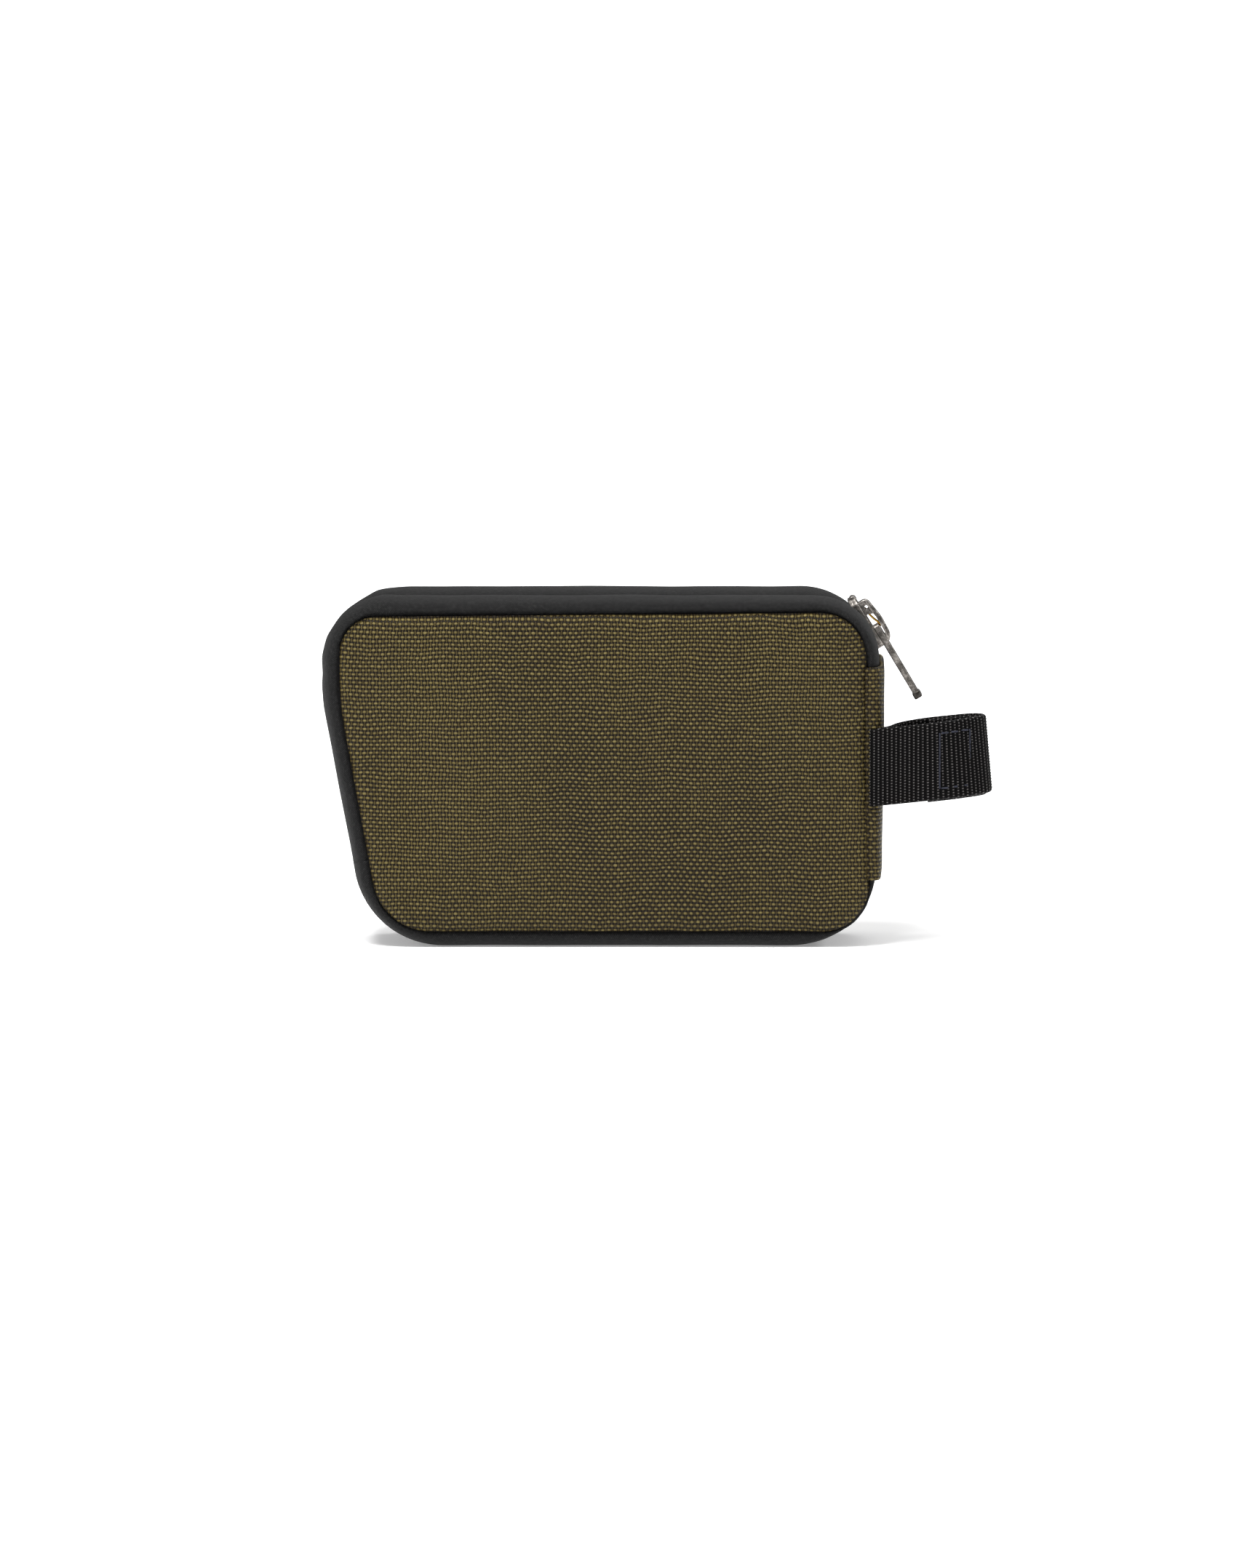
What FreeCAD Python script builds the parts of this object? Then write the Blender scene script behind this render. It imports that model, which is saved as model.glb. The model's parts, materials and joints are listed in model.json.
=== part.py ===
import FreeCAD, Part

# Zipped cable organizer pouch: two padded cloth panels joined by a rolled black gusset, a coil zip round
# the mouth, an end panel with a webbing grab loop, and inside it elastic cable loops and a mesh pocket.
#
# Frame: millimetres, +Z up, +X towards the grab loop, -Y towards the front panel. The origin is the middle
# of the flat strip of gusset that the pouch stands on. The seam is the outline where a panel meets the
# gusset. "grow" is how far another outline stands outside the seam, and a "station" is a distance from
# the middle of the pouch's depth. Front pieces have negative stations.

import os
import re

import Sketcher
from FreeCAD import Placement, Rotation, Vector

DIMENSIONS = {
    # seam outline, seen from the front
    "seam_left": 85.6,
    "seam_right": 84.0,
    "seam_top": 108.0,
    "seam_bottom": 5.0,
    "knee_height": 80.0,
    "foot_left": 71.5,
    "radius_top_left": 12.0,
    "radius_top_right": 15.0,
    "radius_bottom_right": 16.0,
    "radius_bottom_left": 19.0,
    "radius_knee": 110.0,
    # how far the left wall's two lower corners move for each millimetre of grow
    "foot_share": 0.83,
    "knee_share": 0.09,
    # how far the roll's corners have changed from the seam's radii to the crown's
    "roll_crowning": 0.65,
    # the gusset's crown lies flatter round the corners than the seam does
    "crown_radius_top_left": 26.0,
    "crown_radius_top_right": 25.0,
    "crown_radius_bottom_right": 24.0,
    "crown_radius_bottom_left": 26.0,
    "crown_radius_knee": 60.0,
    # section through the gusset, from the seam to the mouth
    "half_depth": 25.0,
    "roll_station": 22.5,
    "roll_grow": 3.6,
    "crown_station": 17.0,
    "crown_grow": 4.9,
    "shoulder_station": 12.0,
    "shoulder_drop": 0.9,
    "fold_station": 9.0,
    "lip_station": 6.6,
    "lip_grow": 2.1,
    "cloth": 1.2,
    "gap": 0.1,
    # panels: rise of the crown beyond the seam, and how far inside the seam it is reached
    "rim_rise": 1.5,
    "rim_inset": 0.6,
    "cushion_rise": 2.9,
    "cushion_inset": 3.5,
    "crown_rise": 3.7,
    "crown_inset": 12.0,
    "panel_cloth": 1.0,
    "lining_thick": 0.4,
    "lining_inset": 2.4,
    "foam_thick": 1.1,
    "foam_inset": 4.4,
    "binding_thick": 1.6,
    "binding_width": 2.6,
    # ends of the mouth, as heights on the right and left walls
    "mouth_right": 90.3,
    "mouth_left": 28.0,
    "mouth_joint": 0.3,
    "stop_length": 1.8,
    # zip section
    "channel_half": 1.0,
    "coil_half": 4.0,
    "coil_top": 2.9,
    "coil_bottom": 0.7,
    "tape_top": 0.65,
    "tape_bottom": -0.1,
    "tape_half": 9.0,
    "stop_half": 4.2,
    "stop_top": 3.2,
    # slider, in its own frame: heights are distances from the centre of the top right corner
    "slider_turn": 58.0,
    "nose_end": 9.6,
    "nose_taper": 2.4,
    "waist": 2.25,
    "tail_end": 9.0,
    "blade_bottom": 18.1,
    "blade_thick": 1.3,
    "blade_round": 0.5,
    "nose_half": 4.2,
    "shoulder_half": 6.4,
    "tail_half": 5.2,
    "flange_drop": 1.0,
    "flange_thick": 0.9,
    "keel_top": 12.6,
    "keel_thick": 1.1,
    "keel_length_half": 7.5,
    "keel_half": 5.6,
    "neck_front": 7.6,
    "neck_back": 5.4,
    "neck_half": 0.8,
    "bridge_front": 6.9,
    "bridge_back": 8.2,
    "bridge_rise": 3.6,
    "bridge_half": 2.2,
    "bridge_slope": 1.0,
    "bridge_round": 0.35,
    # the window under the bridge, and the small hole ahead of it
    "window_front": 4.5,
    "window_back": 6.1,
    "window_rise": 2.55,
    "window_front_rise": 2.4,
    "window_back_rise": 1.8,
    "hole_x": 5.4,
    "hole_rise": 1.1,
    "hole_radius": 0.6,
    "spring_half": 1.1,
    "spring_thick": 0.35,
    "spring_front": 4.35,
    "spring_height": 21.5,
    # pull tab, drawn from the bar it hangs on
    "bar_x": 3.0,
    "bar_height": 20.5,
    "bar_half": 0.9,
    "pull_droop": 1.2,
    "pull_half": 3.9,
    "pull_length": 26.3,
    "eye_half": 2.6,
    "eye_length": 11.0,
    "lip_length": 2.4,
    "lip_half": 1.3,
    "bar_round": 0.8,
    "pull_corner": 1.2,
    "lip_round": 0.5,
    # end panel and grab loop
    "end_bottom": 22.0,
    "end_top": 90.0,
    "end_edge": 24.8,
    "end_cloth": 1.3,
    "web_thick": 1.4,
    "web_width": 25.0,
    "web_bottom": 45.6,
    "sleeve_start": 104.0,
    "sleeve_drop": 0.6,
    "stitch_start": 107.0,
    "stitch_end": 117.0,
    "stitch_margin": 4.6,
    "stitch_width": 0.8,
    "stitch_thick": 0.35,
    "frame_front": 40.0,
    "frame_back": 15.0,
    # inside
    "strip_start": -68.0,
    "strip_width": 25.0,
    "strip_bottom": 50.0,
    "strip_thick": 0.8,
    "loop_count": 5,
    "loop_pitch": 26.0,
    "loop_span": 20.0,
    "loop_rise": 7.0,
    "loop_slope": 4.0,
    "strip_tail": 6.5,
    "arch_wall": 1.2,
    "tack_width": 1.6,
    "tack_thick": 0.4,
    "pocket_top": 62.0,
    "pocket_inset": 3.2,
    "pocket_thick": 0.5,
    "pocket_band": 8.0,
    # the zones that cut the gusset up, and the edge of the working space round the pouch
    "level_until": 41.5,
    "reach": 150.0,
}

# corners of the grab loop's inner face, seen from above, with the radius of the bend at each
GRAB_LOOP_BENDS = [
    ("85.4", "-26.6", "0"),
    ("111.5", "-26.2", "25"),
    ("122.6", "-16.2", "7"),
    ("119.2", "-6.9", "6"),
    ("97.5", "-6.4", "14"),
    ("92.3", "-22.6", "8"),
    ("88.2", "-26.2", "3"),
    ("85.4", "-26.4", "0"),
]

doc = FreeCAD.newDocument("cable_pouch")
dims = doc.addObject("Spreadsheet::Sheet", "Dims")
for row, (alias, size) in enumerate(DIMENSIONS.items(), start=1):
    dims.set(f"A{row}", alias)
    dims.set(f"B{row}", str(size))
    dims.setAlias(f"B{row}", alias)
doc.recompute()

nodes = []


def sheet(text):
    """A FreeCAD expression from text that names sheet cells, such as 'crown_grow - cloth'."""
    return re.sub(r"[a-z_]+", lambda word: "Dims." * (word[0] in DIMENSIONS) + word[0], text)


def value(text):
    return float(dims.evalExpression(sheet(text)))


def bind(thing, **expressions):
    """Binds properties to the sheet. A double underscore stands for a dot."""
    for name, text in expressions.items():
        thing.setExpression(name.replace("__", "."), sheet(text))
    return thing


def keep(part, label):
    """Marks an object as one piece of the pouch."""
    part.Label = label
    nodes.append(part)
    return part


# ---------------------------------------------------------------- sketches


def hold(sketch, index, end, x, y):
    """Holds a point of the sketch at sheet coordinates."""
    for kind, text, axis in (("DistanceX", x, -2), ("DistanceY", y, -1)):
        size = value(text)
        if abs(size) < 1e-9:
            sketch.addConstraint(Sketcher.Constraint("PointOnObject", index, end, axis))
            continue
        sketch.addConstraint(Sketcher.Constraint(kind, -1, 1, index, end, size))
        sketch.setExpression(f"Constraints[{sketch.ConstraintCount - 1}]", sheet(text))


def polygon(sketch, corners):
    """A closed polygon whose corners are pairs of sheet expressions."""
    points = [Vector(value(x), value(y), 0) for x, y in corners]
    first = sketch.GeometryCount
    count = len(points)
    for i in range(count):
        sketch.addGeometry(Part.LineSegment(points[i], points[(i + 1) % count]), False)
    for i, (x, y) in enumerate(corners):
        before = first + (i - 1) % count
        sketch.addConstraint(Sketcher.Constraint("Coincident", before, 2, first + i, 1))
        hold(sketch, first + i, 1, x, y)


def rectangle(sketch, x0, x1, y0, y1):
    polygon(sketch, [(x0, y0), (x1, y0), (x1, y1), (x0, y1)])


def circle(sketch, x, y, radius):
    centre = Vector(value(x), value(y), 0)
    index = sketch.addGeometry(Part.Circle(centre, Vector(0, 0, 1), value(radius)), False)
    hold(sketch, index, 3, x, y)
    sketch.addConstraint(Sketcher.Constraint("Radius", index, value(radius)))
    sketch.setExpression(f"Constraints[{sketch.ConstraintCount - 1}]", sheet(radius))


def loose_sketch(name, upright=True):
    """A sketch outside any body: upright ones face the front, the others face up."""
    sketch = doc.addObject("Sketcher::SketchObject", name)
    if upright:
        sketch.Placement = Placement(Vector(0, 0, 0), Rotation(Vector(1, 0, 0), 90))
    return sketch


# ---------------------------------------------------------------- PartDesign bodies


def new_body(label):
    body = keep(doc.addObject("PartDesign::Body", label + "_body"), label)
    body.AllowCompound = True
    return body


def body_sketch(body, name, role, offset="0"):
    """A sketch on an origin plane of the body, moved along the plane's normal."""
    sketch = body.newObject("Sketcher::SketchObject", name)
    side = next(f for f in body.Origin.OriginFeatures if f.Role == role)
    sketch.AttachmentSupport = (side, [""])
    sketch.MapMode = "FlatFace"
    return bind(sketch, AttachmentOffset__Base__z=offset)


def pad(body, sketch, length, both_ways=False):
    feature = body.newObject("PartDesign::Pad", sketch.Name + "_pad")
    feature.Profile = sketch
    feature.Midplane = both_ways
    return bind(feature, Length=length)


def pocket(body, sketch, both_ways=True):
    feature = body.newObject("PartDesign::Pocket", sketch.Name + "_pocket")
    feature.Profile = sketch
    feature.Type = "ThroughAll"
    feature.Midplane = both_ways
    return feature


def round_edges(body, name, radius, chosen):
    """Fillets the edges of the body's tip that the test function picks out."""
    doc.recompute()
    tip = body.Tip
    names = [f"Edge{i + 1}" for i, edge in enumerate(tip.Shape.Edges) if chosen(edge)]
    feature = body.newObject("PartDesign::Fillet", name)
    feature.Base = (tip, names)
    return bind(feature, Radius=radius)


def along(edge, axis):
    """Whether an edge is straight and parallel to one of the axes 'x', 'y' or 'z'."""
    if not isinstance(edge.Curve, Part.Line):
        return False
    return abs(getattr(edge.Curve.Direction, axis)) > 0.999


# ---------------------------------------------------------------- outlines grown from the seam


def bend_points(corner, before, after, radius):
    """Where a bend of this radius starts and ends at a corner, and its middle."""
    back = (before - corner).normalize()
    ahead = (after - corner).normalize()
    bisector = (back + ahead).normalize()
    across = (back - ahead).Length / 2
    lengthwise = (back + ahead).Length / 2
    reach = radius * lengthwise / across
    middle = corner + bisector * (radius / across - radius)
    return corner + back * reach, middle, corner + ahead * reach


def rounded_path(sketch, corners, closed=True):
    """Straight sides joined by tangent bends. Each corner is given as (x, y, radius of its bend)."""
    points = [Vector(value(x), value(y), 0) for x, y, _ in corners]
    count = len(points)
    bends = range(count) if closed else range(1, count - 1)
    sides = count if closed else count - 1
    starts, ends, middles = list(points), list(points), list(points)
    for i in bends:
        around = points[i - 1], points[(i + 1) % count]
        ends[i], middles[i], starts[i] = bend_points(points[i], *around, value(corners[i][2]))
    for i in range(sides):
        sketch.addGeometry(Part.LineSegment(starts[i], ends[(i + 1) % count]), False)
    for i in bends:
        arc = sketch.addGeometry(Part.Arc(ends[i], middles[i], starts[i]), False)
        first, second = (1, 2) if sketch.getPoint(arc, 1).distanceToPoint(ends[i]) < 1e-6 else (2, 1)
        sketch.addConstraint(Sketcher.Constraint("Tangent", (i - 1) % count, 2, arc, first))
        sketch.addConstraint(Sketcher.Constraint("Tangent", i, 1, arc, second))
        sketch.addConstraint(Sketcher.Constraint("Radius", arc, value(corners[i][2])))
        sketch.setExpression(f"Constraints[{sketch.ConstraintCount - 1}]", sheet(corners[i][2]))
        mark = sketch.addGeometry(Part.Point(points[i]), True)
        sketch.addConstraint(Sketcher.Constraint("PointOnObject", mark, 1, i))
        sketch.addConstraint(Sketcher.Constraint("PointOnObject", mark, 1, (i - 1) % count))
        hold(sketch, mark, 1, *corners[i][:2])
    if not closed:
        hold(sketch, 0, 1, *corners[0][:2])
        hold(sketch, sides - 1, 2, *corners[-1][:2])


def outline_sketch(name, grow, crowning):
    """An outline of five straight sides and five tangent arcs. Crowning runs from 0 to 1: at 0 the corners
    have the seam's radii, at 1 those of the gusset's crown."""

    def corner(x, y, place):
        return x, y, f"( 1 - {crowning} ) * radius_{place} + {crowning} * crown_radius_{place}"

    corners = [
        corner(f"-seam_left - {grow}", f"seam_top + {grow}", "top_left"),
        corner(f"seam_right + {grow}", f"seam_top + {grow}", "top_right"),
        corner(f"seam_right + {grow}", f"seam_bottom - {grow}", "bottom_right"),
        corner(f"-foot_left - foot_share * {grow}", f"seam_bottom - {grow}", "bottom_left"),
        corner(f"-seam_left - {grow}", f"knee_height - knee_share * {grow}", "knee"),
    ]
    sketch = loose_sketch(name)
    rounded_path(sketch, corners)
    return sketch


OUTLINES = {
    "seam": outline_sketch("Seam", "0", "0"),
    "roll": outline_sketch("Roll", "roll_grow", "roll_crowning"),
    "crown": outline_sketch("Crown", "crown_grow", "1"),
}
doc.recompute()


def ring(station, grow, outline="seam"):
    """One of the outlines grown by some amount, standing at a station of the depth."""
    feature = doc.addObject("Part::Offset2D", "Ring")
    feature.Source = OUTLINES[outline]
    return bind(feature, Value=grow, Placement__Base__y=station)


def stack(name, sections):
    """A solid through several outlines, each given as (station, grow) or (station, grow, outline)."""
    feature = doc.addObject("Part::Loft", name)
    feature.Sections = [ring(*section) for section in sections]
    feature.Solid = True
    feature.Ruled = True
    return feature


def join(kind, name, first, second):
    feature = doc.addObject(kind, name)
    feature.Base = first
    feature.Tool = second
    return feature


def hoop(name, outer, inner):
    """The band of material between two stacks."""
    return join("Part::Cut", name, stack(name + "Outer", outer), stack(name + "Inner", inner))


def prism(name, corners, from_above=False):
    """A tool solid: a polygon carried right through the pouch, from the front or from above."""
    sketch = loose_sketch(name + "Outline", upright=not from_above)
    polygon(sketch, corners)
    feature = doc.addObject("Part::Extrusion", name)
    feature.Base = sketch
    feature.DirMode = "Normal"
    feature.Solid = True
    feature.Symmetric = True
    return bind(feature, LengthFwd="2 * reach")


def zone(name, right, left, top_right="reach", top_left="reach"):
    """The part of the outline between two heights on the right wall and two on the left wall. Its edges
    run level from the walls in to level_until and slope across between them."""
    return prism(
        name,
        [
            ("-reach", left),
            ("-level_until", left),
            ("level_until", right),
            ("reach", right),
            ("reach", top_right),
            ("level_until", top_right),
            ("-level_until", top_left),
            ("-reach", top_left),
        ],
    )


def mirrored_sections(sections):
    """Sections given for the back half, completed with their mirror images in the front half."""
    front = [(f"-( {station} )", *rest) for station, *rest in sections]
    return front + sections[::-1]


# ---------------------------------------------------------------- gusset

MOUTH = zone("MouthZone", "mouth_right", "mouth_left", "2 * reach", "2 * reach")
CLOSED = zone(
    "ClosedZone",
    "-reach",
    "-reach",
    "mouth_right - mouth_joint",
    "mouth_left - mouth_joint",
)


def add_zipped_gusset(label, side):
    """One rolled half of the gusset along the mouth, folded down to the zip tape at its lip."""
    outer = [
        (f"{side} * half_depth", "gap"),
        (f"{side} * roll_station", "gap", "roll"),
        (f"{side} * crown_station", "gap", "crown"),
        (f"{side} * shoulder_station", "-shoulder_drop", "crown"),
        (f"{side} * lip_station", "lip_grow"),
    ]
    inner = [
        (f"{side} * half_depth", "-cloth"),
        (f"{side} * roll_station", "-cloth", "roll"),
        (f"{side} * crown_station", "-cloth", "crown"),
        (f"{side} * shoulder_station", "-shoulder_drop - cloth", "crown"),
        (f"{side} * fold_station", "tape_top + 2 * gap"),
        (f"{side} * lip_station", "tape_top + 2 * gap"),
    ]
    keep(join("Part::Common", label, hoop(label + "Roll", outer, inner), MOUTH), label)


def closed_sections(lift):
    """The full-depth gusset section, moved outwards by a lift."""
    return mirrored_sections(
        [
            ("half_depth", f"gap + {lift}"),
            ("roll_station", f"gap + {lift}", "roll"),
            ("crown_station", f"gap + {lift}", "crown"),
        ]
    )


def add_closed_gusset():
    """The full-depth gusset: up from the zip's end, under the pouch and up behind the end panel."""
    sleeve = hoop("ClosedRoll", closed_sections("0"), closed_sections("-cloth"))
    keep(join("Part::Common", "BottomGusset", sleeve, CLOSED), "bottom_gusset")


def add_gusset_lining():
    """Thin lining cloth inside the full-depth gusset."""

    def sections(lift):
        return mirrored_sections(
            [
                ("roll_station", f"-cloth - {lift}", "roll"),
                ("crown_station", f"-cloth - {lift}", "crown"),
            ]
        )

    sheet_hoop = hoop("GussetLiner", sections("gap"), sections("( gap + lining_thick )"))
    keep(join("Part::Common", "GussetLining", sheet_hoop, CLOSED), "gusset_lining")


add_zipped_gusset("front_gusset", "-1")
add_zipped_gusset("back_gusset", "1")
add_closed_gusset()
add_gusset_lining()

# ---------------------------------------------------------------- panels


def sheet_between(name, side, near, far, inset):
    """A flat sheet parallel to the panels, between two stations."""
    return stack(name, [(f"{side} * ( {near} )", f"-{inset}"), (f"{side} * ( {far} )", f"-{inset}")])


def add_panel(place, side):
    """One padded wall: crowned outer cloth, foam sheet, lining and the binding tape over the seam."""
    outer = [
        (f"{side} * ( half_depth + gap )", "-gap"),
        (f"{side} * ( half_depth + rim_rise )", "-rim_inset"),
        (f"{side} * ( half_depth + cushion_rise )", "-cushion_inset"),
        (f"{side} * ( half_depth + crown_rise )", "-crown_inset"),
    ]
    inner = [
        (f"{side} * half_depth", "-cloth"),
        (f"{side} * ( half_depth + cushion_rise - panel_cloth )", "-( cushion_inset + gap )"),
        (f"{side} * ( half_depth + crown_rise - panel_cloth )", "-crown_inset"),
    ]
    keep(hoop(place + "Panel", outer, inner), place + "_panel")

    lining_far = "half_depth + gap + lining_thick"
    lining = sheet_between(place + "Lining", side, "half_depth + gap", lining_far, "lining_inset")
    keep(lining, place + "_lining")
    foam_near = f"{lining_far} + gap"
    foam = sheet_between(place + "Foam", side, foam_near, f"{foam_near} + foam_thick", "foam_inset")
    keep(foam, place + "_foam")

    edges = ("half_depth - binding_width", "half_depth")
    tape_outer = [(f"{side} * ( {edge} )", "-( cloth + gap )") for edge in edges]
    tape_inner = [(f"{side} * ( {edge} )", "-( cloth + gap + binding_thick )") for edge in edges]
    keep(hoop(place + "Binding", tape_outer, tape_inner), place + "_seam_binding")


add_panel("front", "-1")
add_panel("back", "1")

# ---------------------------------------------------------------- zip


def band(name, near, far, top, bottom):
    """A hoop of rectangular section between two stations and two grows."""
    return hoop(name, [(near, top), (far, top)], [(near, bottom), (far, bottom)])


COIL = zone(
    "CoilZone",
    "mouth_right + mouth_joint + stop_length",
    "mouth_left + mouth_joint + stop_length",
    "2 * reach",
    "2 * reach",
)
STOPS = zone(
    "StopZone",
    "mouth_right",
    "mouth_left",
    "mouth_right + stop_length",
    "mouth_left + stop_length",
)


def add_zip_half(place, side):
    tape = band(place + "Tape", f"{side} * channel_half", f"{side} * tape_half", "tape_top", "tape_bottom")
    keep(join("Part::Common", place + "ZipTape", tape, MOUTH), "zip_tape_" + place)
    coil = band(place + "Coil", f"{side} * channel_half", f"{side} * coil_half", "coil_top", "coil_bottom")
    keep(join("Part::Common", place + "ZipCoil", coil, COIL), "zip_coil_" + place)


add_zip_half("front", "-1")
add_zip_half("back", "1")
stop_band = band("StopBand", "-stop_half", "stop_half", "stop_top", "coil_bottom")
keep(join("Part::Common", "ZipStops", stop_band, STOPS), "zip_stops")

# ---------------------------------------------------------------- slider


def put_on_corner(body, x="0", height="0", droop="0"):
    """Places a body drawn in the slider's frame: +X to the tail, +Z out from the corner's centre."""
    body.Placement = Placement(Vector(0, 0, 0), Rotation(Vector(0, 1, 0), 1))
    corner_x = "seam_right - radius_top_right"
    corner_z = "seam_top - radius_top_right"
    bind(
        body,
        Placement__Base__x=f"{corner_x} + {height} * sin(slider_turn) + {x} * cos(slider_turn)",
        Placement__Base__z=f"{corner_z} + {height} * cos(slider_turn) - {x} * sin(slider_turn)",
        Placement__Rotation__Angle=f"slider_turn + {droop}",
    )


def add_slider_body():
    """Two blades joined by a neck at the nose, with flanges down the sides of the upper one."""
    body = new_body("slider_body")
    blade = body_sketch(body, "BladeSketch", "XY_Plane", "blade_bottom")
    polygon(
        blade,
        [
            ("-nose_end", "-nose_half"),
            ("-nose_end + nose_taper", "-shoulder_half"),
            ("0", "-shoulder_half"),
            ("waist", "-tail_half"),
            ("tail_end", "-tail_half"),
            ("tail_end", "tail_half"),
            ("waist", "tail_half"),
            ("0", "shoulder_half"),
            ("-nose_end + nose_taper", "shoulder_half"),
            ("-nose_end", "nose_half"),
        ],
    )
    pad(body, blade, "blade_thick")
    keel = body_sketch(body, "KeelSketch", "XY_Plane", "keel_top - keel_thick")
    polygon(
        keel,
        [
            ("-keel_length_half - gap", "-nose_half"),
            ("-keel_length_half / 2", "-keel_half"),
            ("keel_length_half", "-nose_half"),
            ("keel_length_half", "nose_half"),
            ("-keel_length_half / 2", "keel_half"),
            ("-keel_length_half - gap", "nose_half"),
        ],
    )
    neck = body_sketch(body, "NeckSketch", "XY_Plane", "keel_top - keel_thick")
    rectangle(neck, "-neck_front", "-neck_back", "-neck_half", "neck_half")
    pad(body, neck, "blade_bottom - keel_top + keel_thick + blade_thick / 2")
    pad(body, keel, "keel_thick")
    for side, name in (("-1", "Front"), ("1", "Back")):
        flange = body_sketch(body, name + "FlangeSketch", "XY_Plane", "blade_bottom - flange_drop")
        polygon(
            flange,
            [
                ("-nose_end + nose_taper", f"{side} * shoulder_half"),
                ("0", f"{side} * shoulder_half"),
                ("waist", f"{side} * tail_half"),
                ("tail_end", f"{side} * tail_half"),
                ("tail_end", f"{side} * ( tail_half - flange_thick )"),
                ("waist", f"{side} * ( tail_half - flange_thick )"),
                ("0", f"{side} * ( shoulder_half - flange_thick )"),
                ("-nose_end + nose_taper", f"{side} * ( shoulder_half - flange_thick )"),
            ],
        )
        pad(body, flange, "flange_drop + blade_thick / 2")
    top = value("blade_bottom + blade_thick / 2")
    round_edges(body, "SliderRounds", "blade_round", lambda edge: edge.BoundBox.ZMin > top)
    put_on_corner(body)


def add_slider_bridge():
    """The cast arch on the upper blade that the pull's bar hangs under."""
    body = new_body("slider_bridge")
    foot = "blade_bottom + blade_thick + gap / 5"
    arch = body_sketch(body, "BridgeSketch", "XZ_Plane")
    polygon(
        arch,
        [
            ("-bridge_front", foot),
            ("-bridge_front + bridge_slope", f"{foot} + window_rise"),
            ("-bridge_front / 3", f"{foot} + bridge_rise"),
            ("bridge_back / 2", f"{foot} + bridge_rise"),
            ("bridge_back - bridge_slope", f"{foot} + window_front_rise"),
            ("bridge_back", foot),
        ],
    )
    pad(body, arch, "2 * bridge_half", both_ways=True)
    window = body_sketch(body, "WindowSketch", "XZ_Plane")
    polygon(
        window,
        [
            ("-window_front", f"{foot} - gap"),
            ("-window_front", f"{foot} + window_front_rise"),
            ("-bridge_front / 4", f"{foot} + window_rise"),
            ("bridge_back / 2", f"{foot} + window_rise"),
            ("window_back", f"{foot} + window_back_rise"),
            ("window_back", f"{foot} - gap"),
        ],
    )
    pocket(body, window)
    hole = body_sketch(body, "RivetHoleSketch", "XZ_Plane")
    circle(hole, "-hole_x", f"{foot} + hole_rise", "hole_radius")
    pocket(body, hole)
    middle = value(f"{foot} + bridge_rise / 2")

    def on_top(edge):
        return along(edge, "y") and edge.BoundBox.ZMin > middle

    round_edges(body, "BridgeRounds", "bridge_round", on_top)
    put_on_corner(body)


def add_slider_spring():
    """The leaf spring inside the arch that locks the slider when the pull lies flat."""
    body = new_body("slider_spring")
    leaf = body_sketch(body, "LeafSketch", "XZ_Plane")
    polygon(
        leaf,
        [
            ("-spring_front", "spring_height - 3 * spring_thick"),
            ("bar_x - bar_half", "spring_height"),
            ("bar_x + bar_half", "spring_height"),
            ("bar_x + bar_half", "spring_height + spring_thick"),
            ("bar_x - bar_half", "spring_height + spring_thick"),
            ("-spring_front", "spring_height - 2 * spring_thick"),
        ],
    )
    pad(body, leaf, "2 * spring_half", both_ways=True)
    put_on_corner(body)


def add_pull_tab():
    """The pull: a round-ended plate with an eye whose near bar hangs under the bridge."""
    body = new_body("pull_tab")
    plate = body_sketch(body, "PlateSketch", "XZ_Plane")
    rectangle(plate, "-bar_half", "pull_length", "-bar_half", "bar_half")
    pad(body, plate, "2 * pull_half", both_ways=True)
    lip = body_sketch(body, "LipSketch", "XZ_Plane")
    rectangle(lip, "pull_length - lip_length", "pull_length", "-lip_half", "lip_half")
    pad(body, lip, "2 * pull_half", both_ways=True)
    eye = body_sketch(body, "EyeSketch", "XY_Plane")
    rectangle(eye, "bar_half", "eye_length", "-eye_half", "eye_half")
    pocket(body, eye)
    bar = value("bar_half + gap")
    tip = value("pull_length - gap")
    lip_back = value("pull_length - lip_length / 2")

    def on_bar(edge):
        return along(edge, "y") and edge.BoundBox.XMax < bar

    def at_tip(edge):
        return along(edge, "z") and edge.BoundBox.XMin > tip

    round_edges(body, "BarRounds", "bar_round", on_bar)
    round_edges(body, "PullCorners", "pull_corner", at_tip)
    round_edges(body, "PullLip", "lip_round", lambda edge: edge.BoundBox.XMin > lip_back)
    put_on_corner(body, "bar_x", "bar_height", "pull_droop")


add_slider_body()
add_slider_bridge()
add_slider_spring()
add_pull_tab()

# ---------------------------------------------------------------- end panel and grab loop


def add_end_panel():
    """The cloth patch that closes the right wall, laid over the gusset from seam to seam."""
    edge_grow = "roll_grow * ( half_depth - end_edge ) / ( half_depth - roll_station )"

    def sections(lift):
        return mirrored_sections(
            [
                ("end_edge", f"{edge_grow} + gap + {lift}"),
                ("roll_station", f"gap + {lift}", "roll"),
                ("crown_station", f"gap + {lift}", "crown"),
            ]
        )

    patch = hoop("EndPatch", sections("gap + end_cloth"), sections("gap"))
    window = prism(
        "EndWindow",
        [("0", "end_bottom"), ("reach", "end_bottom"), ("reach", "end_top"), ("0", "end_top")],
    )
    keep(join("Part::Common", "EndPanel", patch, window), "end_panel")


def loop_line():
    """The inner face of the grab loop, seen from above."""
    sketch = loose_sketch("GrabLoopLine", upright=False)
    rounded_path(sketch, GRAB_LOOP_BENDS, closed=False)
    return sketch


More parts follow.
